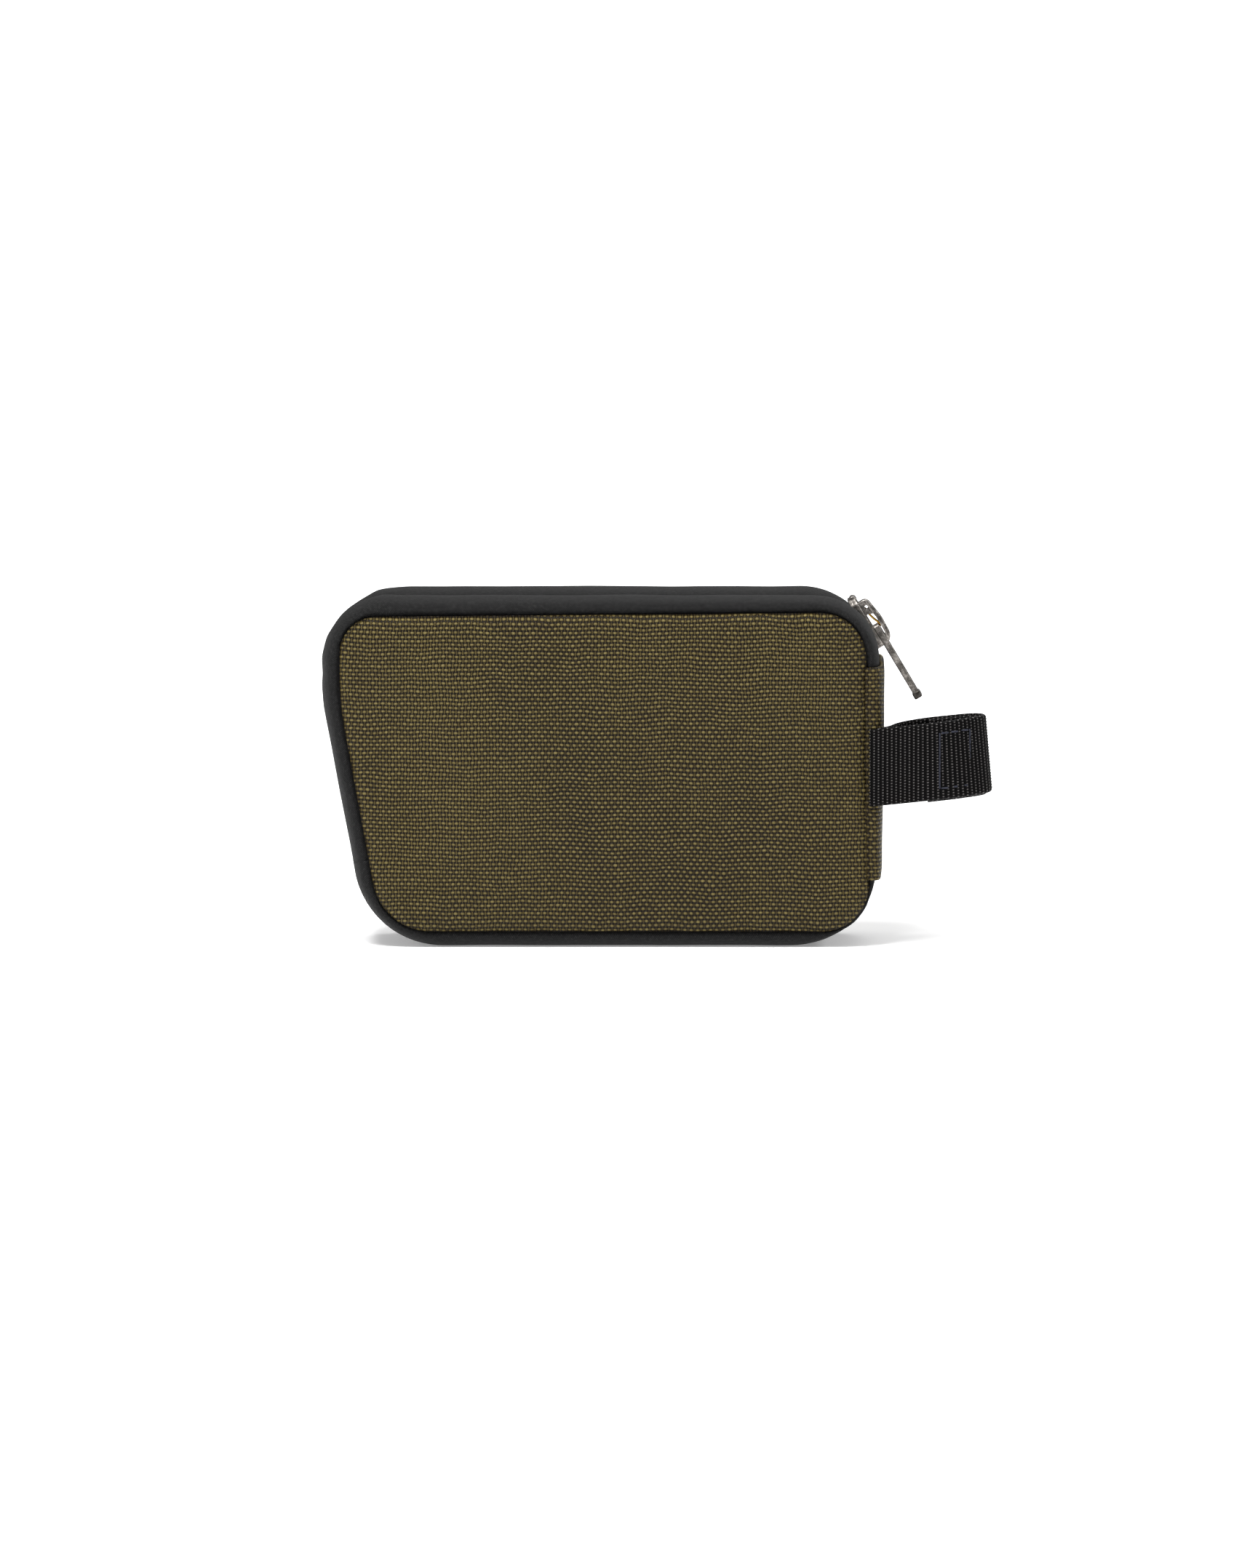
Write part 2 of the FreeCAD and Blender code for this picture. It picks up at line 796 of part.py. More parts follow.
def strap_slab(name, line, distance, drop):
    """A slab of webbing from the loop line out to a distance."""
    face = doc.addObject("Part::Offset2D", name + "Face")
    face.Source = line
    face.Mode = "Skin"
    face.Fill = True
    bind(face, Value=distance)
    slab = doc.addObject("Part::Extrusion", name)
    slab.Base = face
    slab.DirMode = "Custom"
    slab.Dir = Vector(0, 0, 1)
    slab.Solid = True
    return bind(slab, LengthFwd="web_width", Placement__Base__z=f"web_bottom - {drop}")


def strap_layer(name, line, near, far, drop="0"):
    """A further layer of webbing, between two distances outside the loop line."""
    slabs = [strap_slab(name + "Slab", line, distance, drop) for distance in (far, near)]
    return join("Part::Cut", name, *slabs)


def add_grab_loop():
    """The folded strap, its sleeve of a second layer round the bend, and the box of stitching."""
    line = loop_line()
    keep(strap_slab("GrabLoop", line, "web_thick", "0"), "grab_loop")

    sleeve_far = "2 * web_thick + gap"
    layer = strap_layer("Sleeve", line, "web_thick + gap", sleeve_far, "sleeve_drop")
    beyond = prism(
        "SleeveWindow",
        [
            ("sleeve_start", "-reach"),
            ("reach", "-reach"),
            ("reach", "reach"),
            ("sleeve_start", "reach"),
        ],
        from_above=True,
    )
    keep(join("Part::Common", "LoopSleeve", layer, beyond), "loop_sleeve")

    thread = strap_layer("Thread", line, f"{sleeve_far} + gap / 5", f"{sleeve_far} + stitch_thick")
    frame = stitch_frame()
    keep(join("Part::Common", "LoopStitching", thread, frame), "loop_stitching")


def stitch_frame():
    """A square picture frame that reaches the near strand of the loop and stops short of the far one."""
    blocks = []
    for margin in ("0", "stitch_width"):
        block = doc.addObject("Part::Box", "StitchBlock")
        bind(
            block,
            Length=f"stitch_end - stitch_start - 2 * {margin}",
            Width="frame_front - frame_back",
            Height=f"web_width - 2 * ( stitch_margin + {margin} )",
            Placement__Base__x=f"stitch_start + {margin}",
            Placement__Base__y="-frame_front",
            Placement__Base__z=f"web_bottom + stitch_margin + {margin}",
        )
        blocks.append(block)
    return join("Part::Cut", "StitchFrame", *blocks)


add_end_panel()
add_grab_loop()

# ---------------------------------------------------------------- inside


def add_cable_loops():
    """A strip of elastic on the back lining, standing out in a row of arches that hold cables."""
    body = new_body("cable_loops")
    base = body_sketch(body, "StripSketch", "XY_Plane", "strip_bottom")
    rectangle(
        base,
        "strip_start",
        "strip_start + loop_count * loop_pitch + strip_tail",
        "half_depth - strip_thick",
        "half_depth",
    )
    pad(body, base, "strip_width")
    arch = body_sketch(body, "ArchSketch", "XY_Plane", "strip_bottom")
    start = "strip_start + loop_pitch - loop_span"
    end = "strip_start + loop_pitch"
    foot = "half_depth - strip_thick / 2"
    top = "half_depth - loop_rise"
    polygon(
        arch,
        [
            (start, foot),
            (f"{start} + loop_slope", top),
            (f"{end} - loop_slope", top),
            (end, foot),
            (f"{end} - arch_wall", foot),
            (f"{end} - loop_slope - arch_wall / 2", f"{top} + strip_thick"),
            (f"{start} + loop_slope + arch_wall / 2", f"{top} + strip_thick"),
            (f"{start} + arch_wall", foot),
        ],
    )
    first = pad(body, arch, "strip_width")
    repeat_along_strip(body, "ArchPattern", first, arch, "loop_count")


def repeat_along_strip(body, name, feature, sketch, count):
    """Copies a feature along the strip, one copy at each pitch."""
    pattern = body.newObject("PartDesign::LinearPattern", name)
    pattern.Originals = [feature]
    pattern.Direction = (sketch, ["H_Axis"])
    bind(pattern, Length=f"( {count} - 1 ) * loop_pitch", Occurrences=count)
    body.Tip = pattern


def add_loop_tacks():
    """Rows of close stitching that hold the elastic down between the arches."""
    body = new_body("loop_tacks")
    tack = body_sketch(body, "TackSketch", "XY_Plane", "strip_bottom + gap")
    middle = "strip_start + ( loop_pitch - loop_span ) / 2"
    near = "half_depth - strip_thick - gap / 5"
    ends = f"{middle} - tack_width / 2", f"{middle} + tack_width / 2"
    rectangle(tack, *ends, f"{near} - tack_thick", near)
    first = pad(body, tack, "strip_width - 2 * gap")
    repeat_along_strip(body, "TackPattern", first, tack, "loop_count + 1")


def add_mesh_pocket():
    """A flat mesh pocket on the front lining, with an elastic edge along its mouth."""
    near = "half_depth - pocket_thick"
    net = sheet_between("NetSheet", "-1", near, "half_depth", "pocket_inset")
    below = prism("PocketWindow", window_corners("-reach", "pocket_top"))
    keep(join("Part::Common", "MeshPocket", net, below), "mesh_pocket")
    doubled = sheet_between("EdgeSheet", "-1", f"{near} - pocket_thick", "half_depth", "pocket_inset")
    edge = prism("EdgeWindow", window_corners("pocket_top + gap", "pocket_top + pocket_band"))
    keep(join("Part::Common", "PocketEdge", doubled, edge), "pocket_edge")


def window_corners(bottom, top):
    return [("-reach", bottom), ("reach", bottom), ("reach", top), ("-reach", top)]


add_cable_loops()
add_loop_tacks()
add_mesh_pocket()

# ---------------------------------------------------------------- write the pieces

doc.recompute()
for thing in doc.Objects:
    if "Invalid" in thing.State or "Error" in thing.State:
        raise RuntimeError(f"{thing.Name} did not recompute: {thing.State}")
os.makedirs("parts", exist_ok=True)
for node in nodes:
    if node.Shape.isNull() or not node.Shape.isValid() or not node.Shape.Solids:
        raise RuntimeError(f"{node.Label} has no valid solid")
    node.Shape.exportStep(f"parts/{node.Label}.step")
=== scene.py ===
"""The look of the cable organizer pouch: woven walls, rolled gusset, coil zip, slider, webbing loop, lining.

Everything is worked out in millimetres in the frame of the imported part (+X right, +Y back, +Z up) and written
to Blender in metres. The seam is the outline where a wall meets the gusset, and "grow" is how far outside.
"""
import json
import math
from functools import partialmethod

import bmesh
import bpy
import numpy as np
from mathutils import Matrix, Vector, geometry, noise


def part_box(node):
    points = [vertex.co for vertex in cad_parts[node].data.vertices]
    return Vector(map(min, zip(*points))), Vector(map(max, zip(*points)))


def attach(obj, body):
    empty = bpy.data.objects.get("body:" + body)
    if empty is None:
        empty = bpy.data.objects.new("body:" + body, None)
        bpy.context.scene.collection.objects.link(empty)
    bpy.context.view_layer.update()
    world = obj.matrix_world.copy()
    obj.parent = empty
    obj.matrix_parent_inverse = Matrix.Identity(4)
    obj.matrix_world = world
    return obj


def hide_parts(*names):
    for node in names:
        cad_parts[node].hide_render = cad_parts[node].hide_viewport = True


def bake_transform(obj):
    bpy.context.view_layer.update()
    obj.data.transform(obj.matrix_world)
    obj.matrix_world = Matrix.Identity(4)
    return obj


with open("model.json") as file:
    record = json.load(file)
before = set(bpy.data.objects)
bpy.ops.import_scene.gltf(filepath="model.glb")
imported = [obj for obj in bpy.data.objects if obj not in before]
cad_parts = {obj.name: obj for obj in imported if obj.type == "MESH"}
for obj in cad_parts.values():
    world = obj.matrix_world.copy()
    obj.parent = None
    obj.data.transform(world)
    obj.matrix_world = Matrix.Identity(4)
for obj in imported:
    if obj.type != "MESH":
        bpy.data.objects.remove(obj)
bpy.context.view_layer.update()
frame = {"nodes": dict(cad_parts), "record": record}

MM = 0.001
BACK, FRONT = "back_half", "front_half"


def span(node):
    """Lowest and highest corner of a CAD node, in millimetres."""
    low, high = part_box(node)
    return low / MM, high / MM


# ---------------------------------------------------------------- sizes taken from the frame

panel_low, panel_high = span("front_panel")
gusset_high = span("front_gusset")[1]
closed_high = span("bottom_gusset")[1]
end_low, end_high = span("end_panel")
loop_low, loop_high = span("grab_loop")
sleeve_low, sleeve_high = span("loop_sleeve")
stitch_low, stitch_high = span("loop_stitching")

# the CAD leaves this gap between neighbours
GAP = 0.1
HALF_DEPTH = -panel_high.y
SEAM_LEFT = -panel_low.x + GAP
SEAM_RIGHT = panel_high.x + GAP
SEAM_TOP = panel_high.z + GAP
SEAM_BOTTOM = panel_low.z - GAP
CROWN = gusset_high.z - SEAM_TOP
LIP = -gusset_high.y
# below this height the left side leans in, as far as this foot
KNEE = 80.0
FOOT_LEFT = 71.5
# y where the roll turns into the crown
CROWN_STATION = 17.0
# heights at which the zipped mouth ends
MOUTH_RIGHT = closed_high.z + 0.3
MOUTH_LEFT = 28.0
# webbing, from rib to rib and from bead to bead
RIB_PITCH = 1.42
BEAD_PITCH = 0.92

# x, z, seam radius, crown radius at the back and at the front, the way the corner moves for each
# millimetre of grow, and how far the seam is pulled off the crown's corner
CORNERS = (
    (-SEAM_LEFT, SEAM_TOP, 12.0, 26.0, 21.0, (-1.0, 1.0), (0.7, -1.1)),
    (SEAM_RIGHT, SEAM_TOP, 15.0, 25.0, 20.5, (1.0, 1.0), (0.3, 0.4)),
    (SEAM_RIGHT, SEAM_BOTTOM, 15.0, 27.0, 27.0, (0.7, -1.0), (1.5, 0.0)),
    (-FOOT_LEFT, SEAM_BOTTOM, 19.0, 28.0, 28.0, (-0.83, -1.0), (0.0, 0.0)),
    (-SEAM_LEFT, KNEE, 110.0, 60.0, 60.0, (-1.0, -0.09), (0.3, 0.0)),
)

# ---------------------------------------------------------------- outlines


def unit(vectors):
    """Vectors, listed along the last axis, scaled to length 1."""
    return vectors / np.linalg.norm(vectors, axis=-1, keepdims=True)


def lengths(path):
    """How far along a polyline each of its points is."""
    return np.concatenate([[0], np.cumsum(np.linalg.norm(np.diff(path, axis=0), axis=1))])


def resample(points, count, closed=True):
    """Evenly spaced points along a polyline."""
    path = np.vstack([points, points[:1]]) if closed else points
    along = lengths(path)
    places = np.linspace(0, along[-1], count, endpoint=not closed)
    return np.stack([np.interp(places, along, path[:, k]) for k in range(path.shape[1])], axis=1)


def bent_path(corners, closed=True, steps=20):
    """Points along straight sides joined by tangent arcs. Each corner is (point, radius)."""
    points = [np.array(point, float) for point, _ in corners]
    count = len(points)
    path = []
    for i, (_, radius) in enumerate(corners):
        if not closed and i in (0, count - 1):
            path.append(points[i])
            continue
        back = unit(points[i - 1] - points[i])
        ahead = unit(points[(i + 1) % count] - points[i])
        half = math.acos(np.clip(back @ ahead, -1, 1)) / 2
        centre = points[i] + unit(back + ahead) * radius / math.sin(half)
        start = points[i] + back * radius / math.tan(half) - centre
        end = points[i] + ahead * radius / math.tan(half) - centre
        turn = math.pi - 2 * half
        for step in range(steps + 1):
            share = step / steps
            mixed = start * math.sin((1 - share) * turn) + end * math.sin(share * turn)
            path.append(centre + mixed / math.sin(turn))
    return np.array(path)


def outline(grow, crowning=0.0, front=False):
    """The pouch's outline in x and z, clockwise from the front, as a dense closed polyline.

    crowning runs from 0, with the corners of the seam, to 1, with those of the crown."""
    corners = []
    for x, z, seam_radius, back_radius, front_radius, move, pull in CORNERS:
        flat = 1 - crowning
        radius = flat * (seam_radius + grow) + crowning * (front_radius if front else back_radius)
        corners.append(((x + move[0] * grow + flat * pull[0], z + move[1] * grow + flat * pull[1]), radius))
    return resample(bent_path(corners), 1600)


class Seam:
    """The seam outline as a closed curve with outward normals, starting in the middle of the base."""

    def __init__(self):
        points = outline(0)
        low = points[:, 1] < points[:, 1].min() + 0.01
        start = np.argmin(np.where(low, np.abs(points[:, 0]), 1e9))
        points = np.roll(points, -start, axis=0)
        ahead = unit(np.roll(points, -1, axis=0) - np.roll(points, 1, axis=0))
        self.points = points
        self.normals = np.stack([-ahead[:, 1], ahead[:, 0]], axis=1)
        *along, self.length = lengths(np.vstack([points, points[:1]]))
        self.along = np.array(along)

    def at(self, places):
        """Points and outward normals at distances along the seam."""

        def read(values):
            columns = [np.interp(places, self.along, values[:, k], period=self.length) for k in (0, 1)]
            return np.stack(columns, axis=1)

        return read(self.points), unit(read(self.normals))

    def place(self, x_side, height):
        """Distance along the seam of the point at a height on the left (-1) or right (+1) wall."""
        on_side = self.points[:, 0] * x_side > 40
        return self.along[np.argmin(np.where(on_side, np.abs(self.points[:, 1] - height), 1e9))]

    def inset(self, points):
        """Distance of points in x and z from the seam line."""
        gaps = np.linalg.norm(points[:, None, :] - self.points[None, ::4, :], axis=2)
        return gaps.min(axis=1)


seam = Seam()


def reach(points, normals, grow, crowning, front=False):
    """How far along each normal the grown outline is met."""
    start = outline(grow, crowning, front)
    side = np.roll(start, -1, axis=0) - start
    gap = start[None] - points[:, None]
    facing = normals[:, None, 0] * side[None, :, 1] - normals[:, None, 1] * side[None, :, 0]
    facing = np.where(np.abs(facing) < 1e-9, 1e-9, facing)
    distance = (gap[..., 0] * side[None, :, 1] - gap[..., 1] * side[None, :, 0]) / facing
    share = (gap[..., 0] * normals[:, None, 1] - gap[..., 1] * normals[:, None, 0]) / facing
    distance = np.where((share >= -1e-6) & (share <= 1 + 1e-6), distance, 1e9)
    return distance[np.arange(len(points)), np.abs(distance).argmin(axis=1)]


def smooth_between(control, samples):
    """Catmull-Rom curve through control rows; samples points per stretch."""
    padded = np.concatenate([[2 * control[0] - control[1]], control, [2 * control[-1] - control[-2]]])
    rows = []
    for k in range(len(control) - 1):
        a, b, c, d = padded[k : k + 4]
        for step in range(samples):
            t = step / samples
            bend = (2 * a - 5 * b + 4 * c - d) * t**2
            twist = (3 * b - a - 3 * c + d) * t**3
            rows.append(0.5 * (2 * b + (c - a) * t + bend + twist))
    rows.append(control[-1])
    return np.array(rows)


def at_depth(points, y):
    """Points in x and z set at y, one number or one for each."""
    return np.stack([points[:, 0], np.broadcast_to(y, len(points)), points[:, 1]], axis=1)


def gusset_grid(places, stations, front=False):
    """Points of a band round the pouch: rows follow the seam, columns cross it through the stations.

    Each station is (y, grow, crowning)."""
    points, normals = seam.at(places)
    control = []
    for y, grow, crowning in stations:
        out = reach(points, normals, grow, crowning, front)[:, None]
        control.append(at_depth(points + normals * out, y))
    return np.swapaxes(smooth_between(np.array(control), samples=3), 0, 1)


# ---------------------------------------------------------------- meshes


def linked(name, data):
    """A new object in the scene."""
    obj = bpy.data.objects.new(name, data)
    bpy.context.scene.collection.objects.link(obj)
    return obj


def smooth(mesh):
    mesh.polygons.foreach_set("use_smooth", [True] * len(mesh.polygons))


def new_object(name, vertices, faces, uvs=None):
    """A smooth-shaded mesh from millimetres. uvs holds one pair per vertex, in millimetres too."""
    mesh = bpy.data.meshes.new(name)
    mesh.from_pydata([Vector(v) * MM for v in vertices], [], faces)
    mesh.validate()
    if uvs is not None:
        layer = mesh.uv_layers.new(name="cloth")
        for loop in mesh.loops:
            layer.data[loop.index].uv = Vector(uvs[loop.vertex_index]) * MM
    smooth(mesh)
    return linked(name, mesh)


def grid_faces(rows, columns, wrap_rows=False, wrap_columns=False):
    """Quads between the points of a grid, listed row by row. A wrapped direction closes on itself."""
    faces = []
    for i in range(rows if wrap_rows else rows - 1):
        for j in range(columns if wrap_columns else columns - 1):
            k, m = (i + 1) % rows, (j + 1) % columns
            faces.append((i * columns + j, i * columns + m, k * columns + m, k * columns + j))
    return faces


def grid_object(name, grid, turned=False):
    """A sheet from a grid of points, with lengths measured on the sheet as its UV.

    turned swaps the two lengths, so that a cloth's warp runs the other way."""
    rows, columns = grid.shape[:2]
    u = lengths(grid[:, columns // 2])
    across = np.linalg.norm(np.diff(grid, axis=1), axis=2).mean(axis=0)
    v = np.concatenate([[0], np.cumsum(across)])
    uvs = [(v[j], u[i]) if turned else (u[i], v[j]) for i in range(rows) for j in range(columns)]
    return new_object(name, grid.reshape(-1, 3), grid_faces(rows, columns), uvs)


def tube_object(name, grid, along, around, closed):
    """A band with a closed section from a grid of points: rows along it and columns round it.

    The two lengths become its UV. Its ends are capped, unless they meet."""
    rows, columns = grid.shape[:2]
    uvs = [(along[i], around[j]) for i in range(rows) for j in range(columns)]
    faces = grid_faces(rows, columns, wrap_rows=closed, wrap_columns=True)
    if not closed:
        faces.append(tuple(range(columns)))
        faces.append(tuple((rows - 1) * columns + j for j in reversed(range(columns))))
    return tidy_normals(new_object(name, grid.reshape(-1, 3), faces, uvs))


def bake(obj):
    """Applies every modifier."""
    depsgraph = bpy.context.evaluated_depsgraph_get()
    depsgraph.update()
    mesh = bpy.data.meshes.new_from_object(obj.evaluated_get(depsgraph), depsgraph=depsgraph)
    obj.modifiers.clear()
    obj.data = mesh


def thicken(obj, thickness):
    """Gives a sheet a thickness in millimetres, half on each side."""
    solid = obj.modifiers.new("Thickness", "SOLIDIFY")
    solid.thickness = thickness * MM
    solid.offset = 0
    bake(obj)
    tidy_normals(obj)


def ripple(point, size, seed=0.0):
    """Smooth noise between about -1 and 1 at a wave size in millimetres."""
    return noise.noise(Vector(point) / size + Vector((seed, seed * 1.7, -seed)))


def ripples(plan, y, size, seed=0.0):
    """The ripple at every point of a plan in x and z, at y."""
    return np.array([ripple((x, y, z), size, seed) for x, z in plan])


def ease(low, high, value):
    """0 below low, 1 above high, smooth between; works on numbers and arrays."""
    share = np.clip((value - low) / (high - low), 0, 1)
    return share * share * (3 - 2 * share)


# ---------------------------------------------------------------- threads and plates


def sweep(path, radius, sides):
    """Vertices and faces of a round thread along an open path, with closed ends."""
    path = np.asarray(path, float)
    ahead = unit(np.gradient(path, axis=0))
    up = np.array([0.0, 0.0, 1.0]) if abs(ahead[0][2]) < 0.8 else np.array([0.0, 1.0, 0.0])
    vertices = []
    for point, direction in zip(path, ahead):
        side = unit(np.cross(direction, up))
        up = np.cross(side, direction)
        for k in range(sides):
            angle = 2 * math.pi * k / sides
            vertices.append(point + radius * (side * math.cos(angle) + up * math.sin(angle)))
    faces = grid_faces(len(path), sides, wrap_columns=True)
    faces.append(tuple(range(sides))[::-1])
    faces.append(tuple(len(vertices) - sides + k for k in range(sides)))
    return vertices, faces


def thread_object(name, paths, radius, sides):
    """Several threads in one mesh."""
    vertices, faces = [], []
    for path in paths:
        more, rings = sweep(path, radius, sides)
        faces += [tuple(index + len(vertices) for index in face) for face in rings]
        vertices += more
    return new_object(name, vertices, faces)


def tidy_normals(obj):
    """Turns every face outwards."""
    work = bmesh.new()
    work.from_mesh(obj.data)
    bmesh.ops.recalc_face_normals(work, faces=work.faces)
    work.to_mesh(obj.data)
    work.free()
    return obj


def plate(name, loops, low, high, rounding, upright=False):
    """A flat part with rounded edges. loops holds an outline and its holes, each a list of (point, radius).

    It lies in x and y between two heights, or, if upright, in x and z between two values of y."""
    curve = bpy.data.curves.new(name, "CURVE")
    curve.dimensions = "2D"
    curve.fill_mode = "BOTH"
    for corners in loops:
        points = bent_path(corners, steps=6)
        spline = curve.splines.new("POLY")
        spline.points.add(len(points) - 1)
        for point, (a, b) in zip(spline.points, points):
            point.co = (a, b, 0, 1)
        spline.use_cyclic_u = True
    curve.extrude = (high - low) / 2 - rounding
    curve.bevel_depth = rounding
    curve.bevel_resolution = 3
    curve.offset = -rounding
    made = linked(name, curve)
    mesh = bpy.data.meshes.new_from_object(made.evaluated_get(bpy.context.evaluated_depsgraph_get()))
    bpy.data.objects.remove(made)
    middle = (low + high) / 2
    turn = Matrix.Rotation(math.pi / 2, 4, "X") if upright else Matrix.Identity(4)
    mesh.transform(Matrix.Translation((0, middle, 0) if upright else (0, 0, middle)) @ turn)
    return linked(name, mesh)


def mirrored(corners):
    """An outline in x and y from its half with negative y, listed in the direction of x."""
    return corners + [((x, -y), radius) for (x, y), radius in reversed(corners)]


def joined(name, parts, place):
    """Parts in millimetres welded into one object and carried to their place."""
    work = bmesh.new()
    for part in parts:
        part.data.transform(place)
        work.from_mesh(part.data)
        bpy.data.objects.remove(part)
    bmesh.ops.remove_doubles(work, verts=work.verts, dist=0.002)
    bmesh.ops.recalc_face_normals(work, faces=work.faces)
    bmesh.ops.scale(work, vec=(MM, MM, MM), verts=work.verts)
    mesh = bpy.data.meshes.new(name)
    work.to_mesh(mesh)
    work.free()
    smooth(mesh)
    mesh.set_sharp_from_angle(angle=math.radians(35))
    return linked(name, mesh)


# ---------------------------------------------------------------- materials


class Wire:
    """A socket in a node tree that takes part in arithmetic."""

    def __init__(self, tree, socket):
        self.tree = tree
        self.socket = socket

    def apply(self, operation, *others):
        node = self.tree.nodes.new("ShaderNodeMath")
        node.operation = operation
        self.tree.links.new(self.socket, node.inputs[0])
        for slot, other in enumerate(others, start=1):
            if isinstance(other, Wire):
                self.tree.links.new(other.socket, node.inputs[slot])
            else:
                node.inputs[slot].default_value = other
        return Wire(self.tree, node.outputs[0])

    __add__ = partialmethod(apply, "ADD")
    __sub__ = partialmethod(apply, "SUBTRACT")
    __mul__ = partialmethod(apply, "MULTIPLY")
    __pow__ = partialmethod(apply, "POWER")
    floor = partialmethod(apply, "FLOOR")
    fraction = partialmethod(apply, "FRACT")
    wave = partialmethod(apply, "SINE")
    wave_down = partialmethod(apply, "COSINE")
    size = partialmethod(apply, "ABSOLUTE")
    largest = partialmethod(apply, "MAXIMUM")
    above = partialmethod(apply, "GREATER_THAN")
    one_minus = partialmethod(apply, "MULTIPLY_ADD", -1.0, 1.0)


class Cloth:
    """Builds one material: coordinates in millimetres, a height for the bump and a Principled surface."""

    def __init__(self, name, roughness=0.8, metallic=0.0, sheen=0.0, specular=0.3):
        self.material = bpy.data.materials.new(name)
        self.material.use_nodes = True
        self.tree = self.material.node_tree
        self.surface = self.tree.nodes["Principled BSDF"]
        finish = {"Roughness": roughness, "Metallic": metallic, "Specular IOR Level": specular}
        finish |= {"Sheen Weight": sheen, "Sheen Roughness": 0.4}
        for socket, amount in finish.items():
            self.surface.inputs[socket].default_value = amount

    def node(self, kind, **inputs):
        """A new node with numbers, wires or sockets on its inputs."""
        node = self.tree.nodes.new(kind)
        for name, item in inputs.items():
            socket = node.inputs[name.replace("_", " ")]
            if isinstance(item, Wire):
                self.tree.links.new(item.socket, socket)
            elif hasattr(item, "is_output"):
                self.tree.links.new(item, socket)
            else:
                socket.default_value = item
        return node

    def sheet(self):
        """The two lengths measured on the cloth, in millimetres."""
        uv = self.tree.nodes.new("ShaderNodeUVMap")
        uv.uv_map = "cloth"
        parts = self.node("ShaderNodeSeparateXYZ", Vector=uv.outputs[0])
        return [Wire(self.tree, parts.outputs[k]) * (1 / MM) for k in (0, 1)]

    def space(self):
        """The three coordinates of the object, in millimetres."""
        place = self.tree.nodes.new("ShaderNodeTexCoord").outputs["Object"]
        scaled = self.tree.nodes.new("ShaderNodeVectorMath")
        scaled.operation = "SCALE"
        self.tree.links.new(place, scaled.inputs[0])
        scaled.inputs["Scale"].default_value = 1 / MM
        return scaled.outputs[0]

    def pair(self, u, v, w=0.0):
        return self.node("ShaderNodeCombineXYZ", X=u, Y=v, Z=w).outputs[0]

    def noise(self, place, size, detail=2.0, roughness=0.5):
        """Noise from 0 to 1 with a grain size in millimetres."""
        sizes = {"Scale": 1 / size, "Detail": detail, "Roughness": roughness}
        made = self.node("ShaderNodeTexNoise", Vector=place, **sizes)
        return Wire(self.tree, made.outputs["Fac"])

    def speckle(self, place):
        """A random number from 0 to 1 for every place."""
        made = self.node("ShaderNodeTexWhiteNoise", Vector=place)
        return Wire(self.tree, made.outputs["Value"])

    def ramp(self, share, stops):
        """Colours at positions from 0 to 1."""
        node = self.tree.nodes.new("ShaderNodeValToRGB")
        self.tree.links.new(share.socket, node.inputs[0])
        elements = node.color_ramp.elements
        elements[0].position, elements[0].color = stops[0][0], (*stops[0][1], 1)
        elements[1].position, elements[1].color = stops[-1][0], (*stops[-1][1], 1)
        for position, colour in stops[1:-1]:
            elements.new(position).color = (*colour, 1)
        return node.outputs[0]

    def finish(self, colour, height=None, depth=0.2, roughness=None):
        """Colour is a socket; height, from 0 to 1, stands for depth in millimetres."""
        self.tree.links.new(colour, self.surface.inputs["Base Color"])
        if height is not None:
            bump = self.node("ShaderNodeBump", Height=height, Distance=depth * MM, Strength=1.0)
            self.tree.links.new(bump.outputs[0], self.surface.inputs["Normal"])
        if roughness is not None:
            self.tree.links.new(roughness.socket, self.surface.inputs["Roughness"])
        return self.material


# half length and half width of a bead, as shares of the thread pitches
WEFT_BEAD = (0.84, 0.44)
WARP_BEAD = (0.78, 0.37)
# the wall cloth's warp and weft, and the gusset's twill line
WARP_PITCH = 1.02
WEFT_PITCH = 1.33
TWILL_PITCH = 0.62


def plain_weave(cloth, u, v, pitch_u, pitch_v, warp_share=0.92):
    """A plain weave: oval beads of weft between oval beads of warp, like a chess board.

    Returns the height, a number that is 1 where the weft is on top, and both lengths in pitches."""
    a, b = u * (1 / pitch_u), v * (1 / pitch_v)

    def bead(along, across, order, halves):
        far = (((along - order) * 0.5).fraction() - 0.5) * (2 / halves[0])
        near = (across.fraction() - 0.5) * (1 / halves[1])
        return (far * far + near * near).one_minus().largest(0.0) ** 0.5

    weft = bead(a, b, b.floor() + 0.5, WEFT_BEAD)
    warp = bead(b, a, a.floor() + 1.5, WARP_BEAD) * warp_share
    return weft.largest(warp), weft.above(warp), a, b


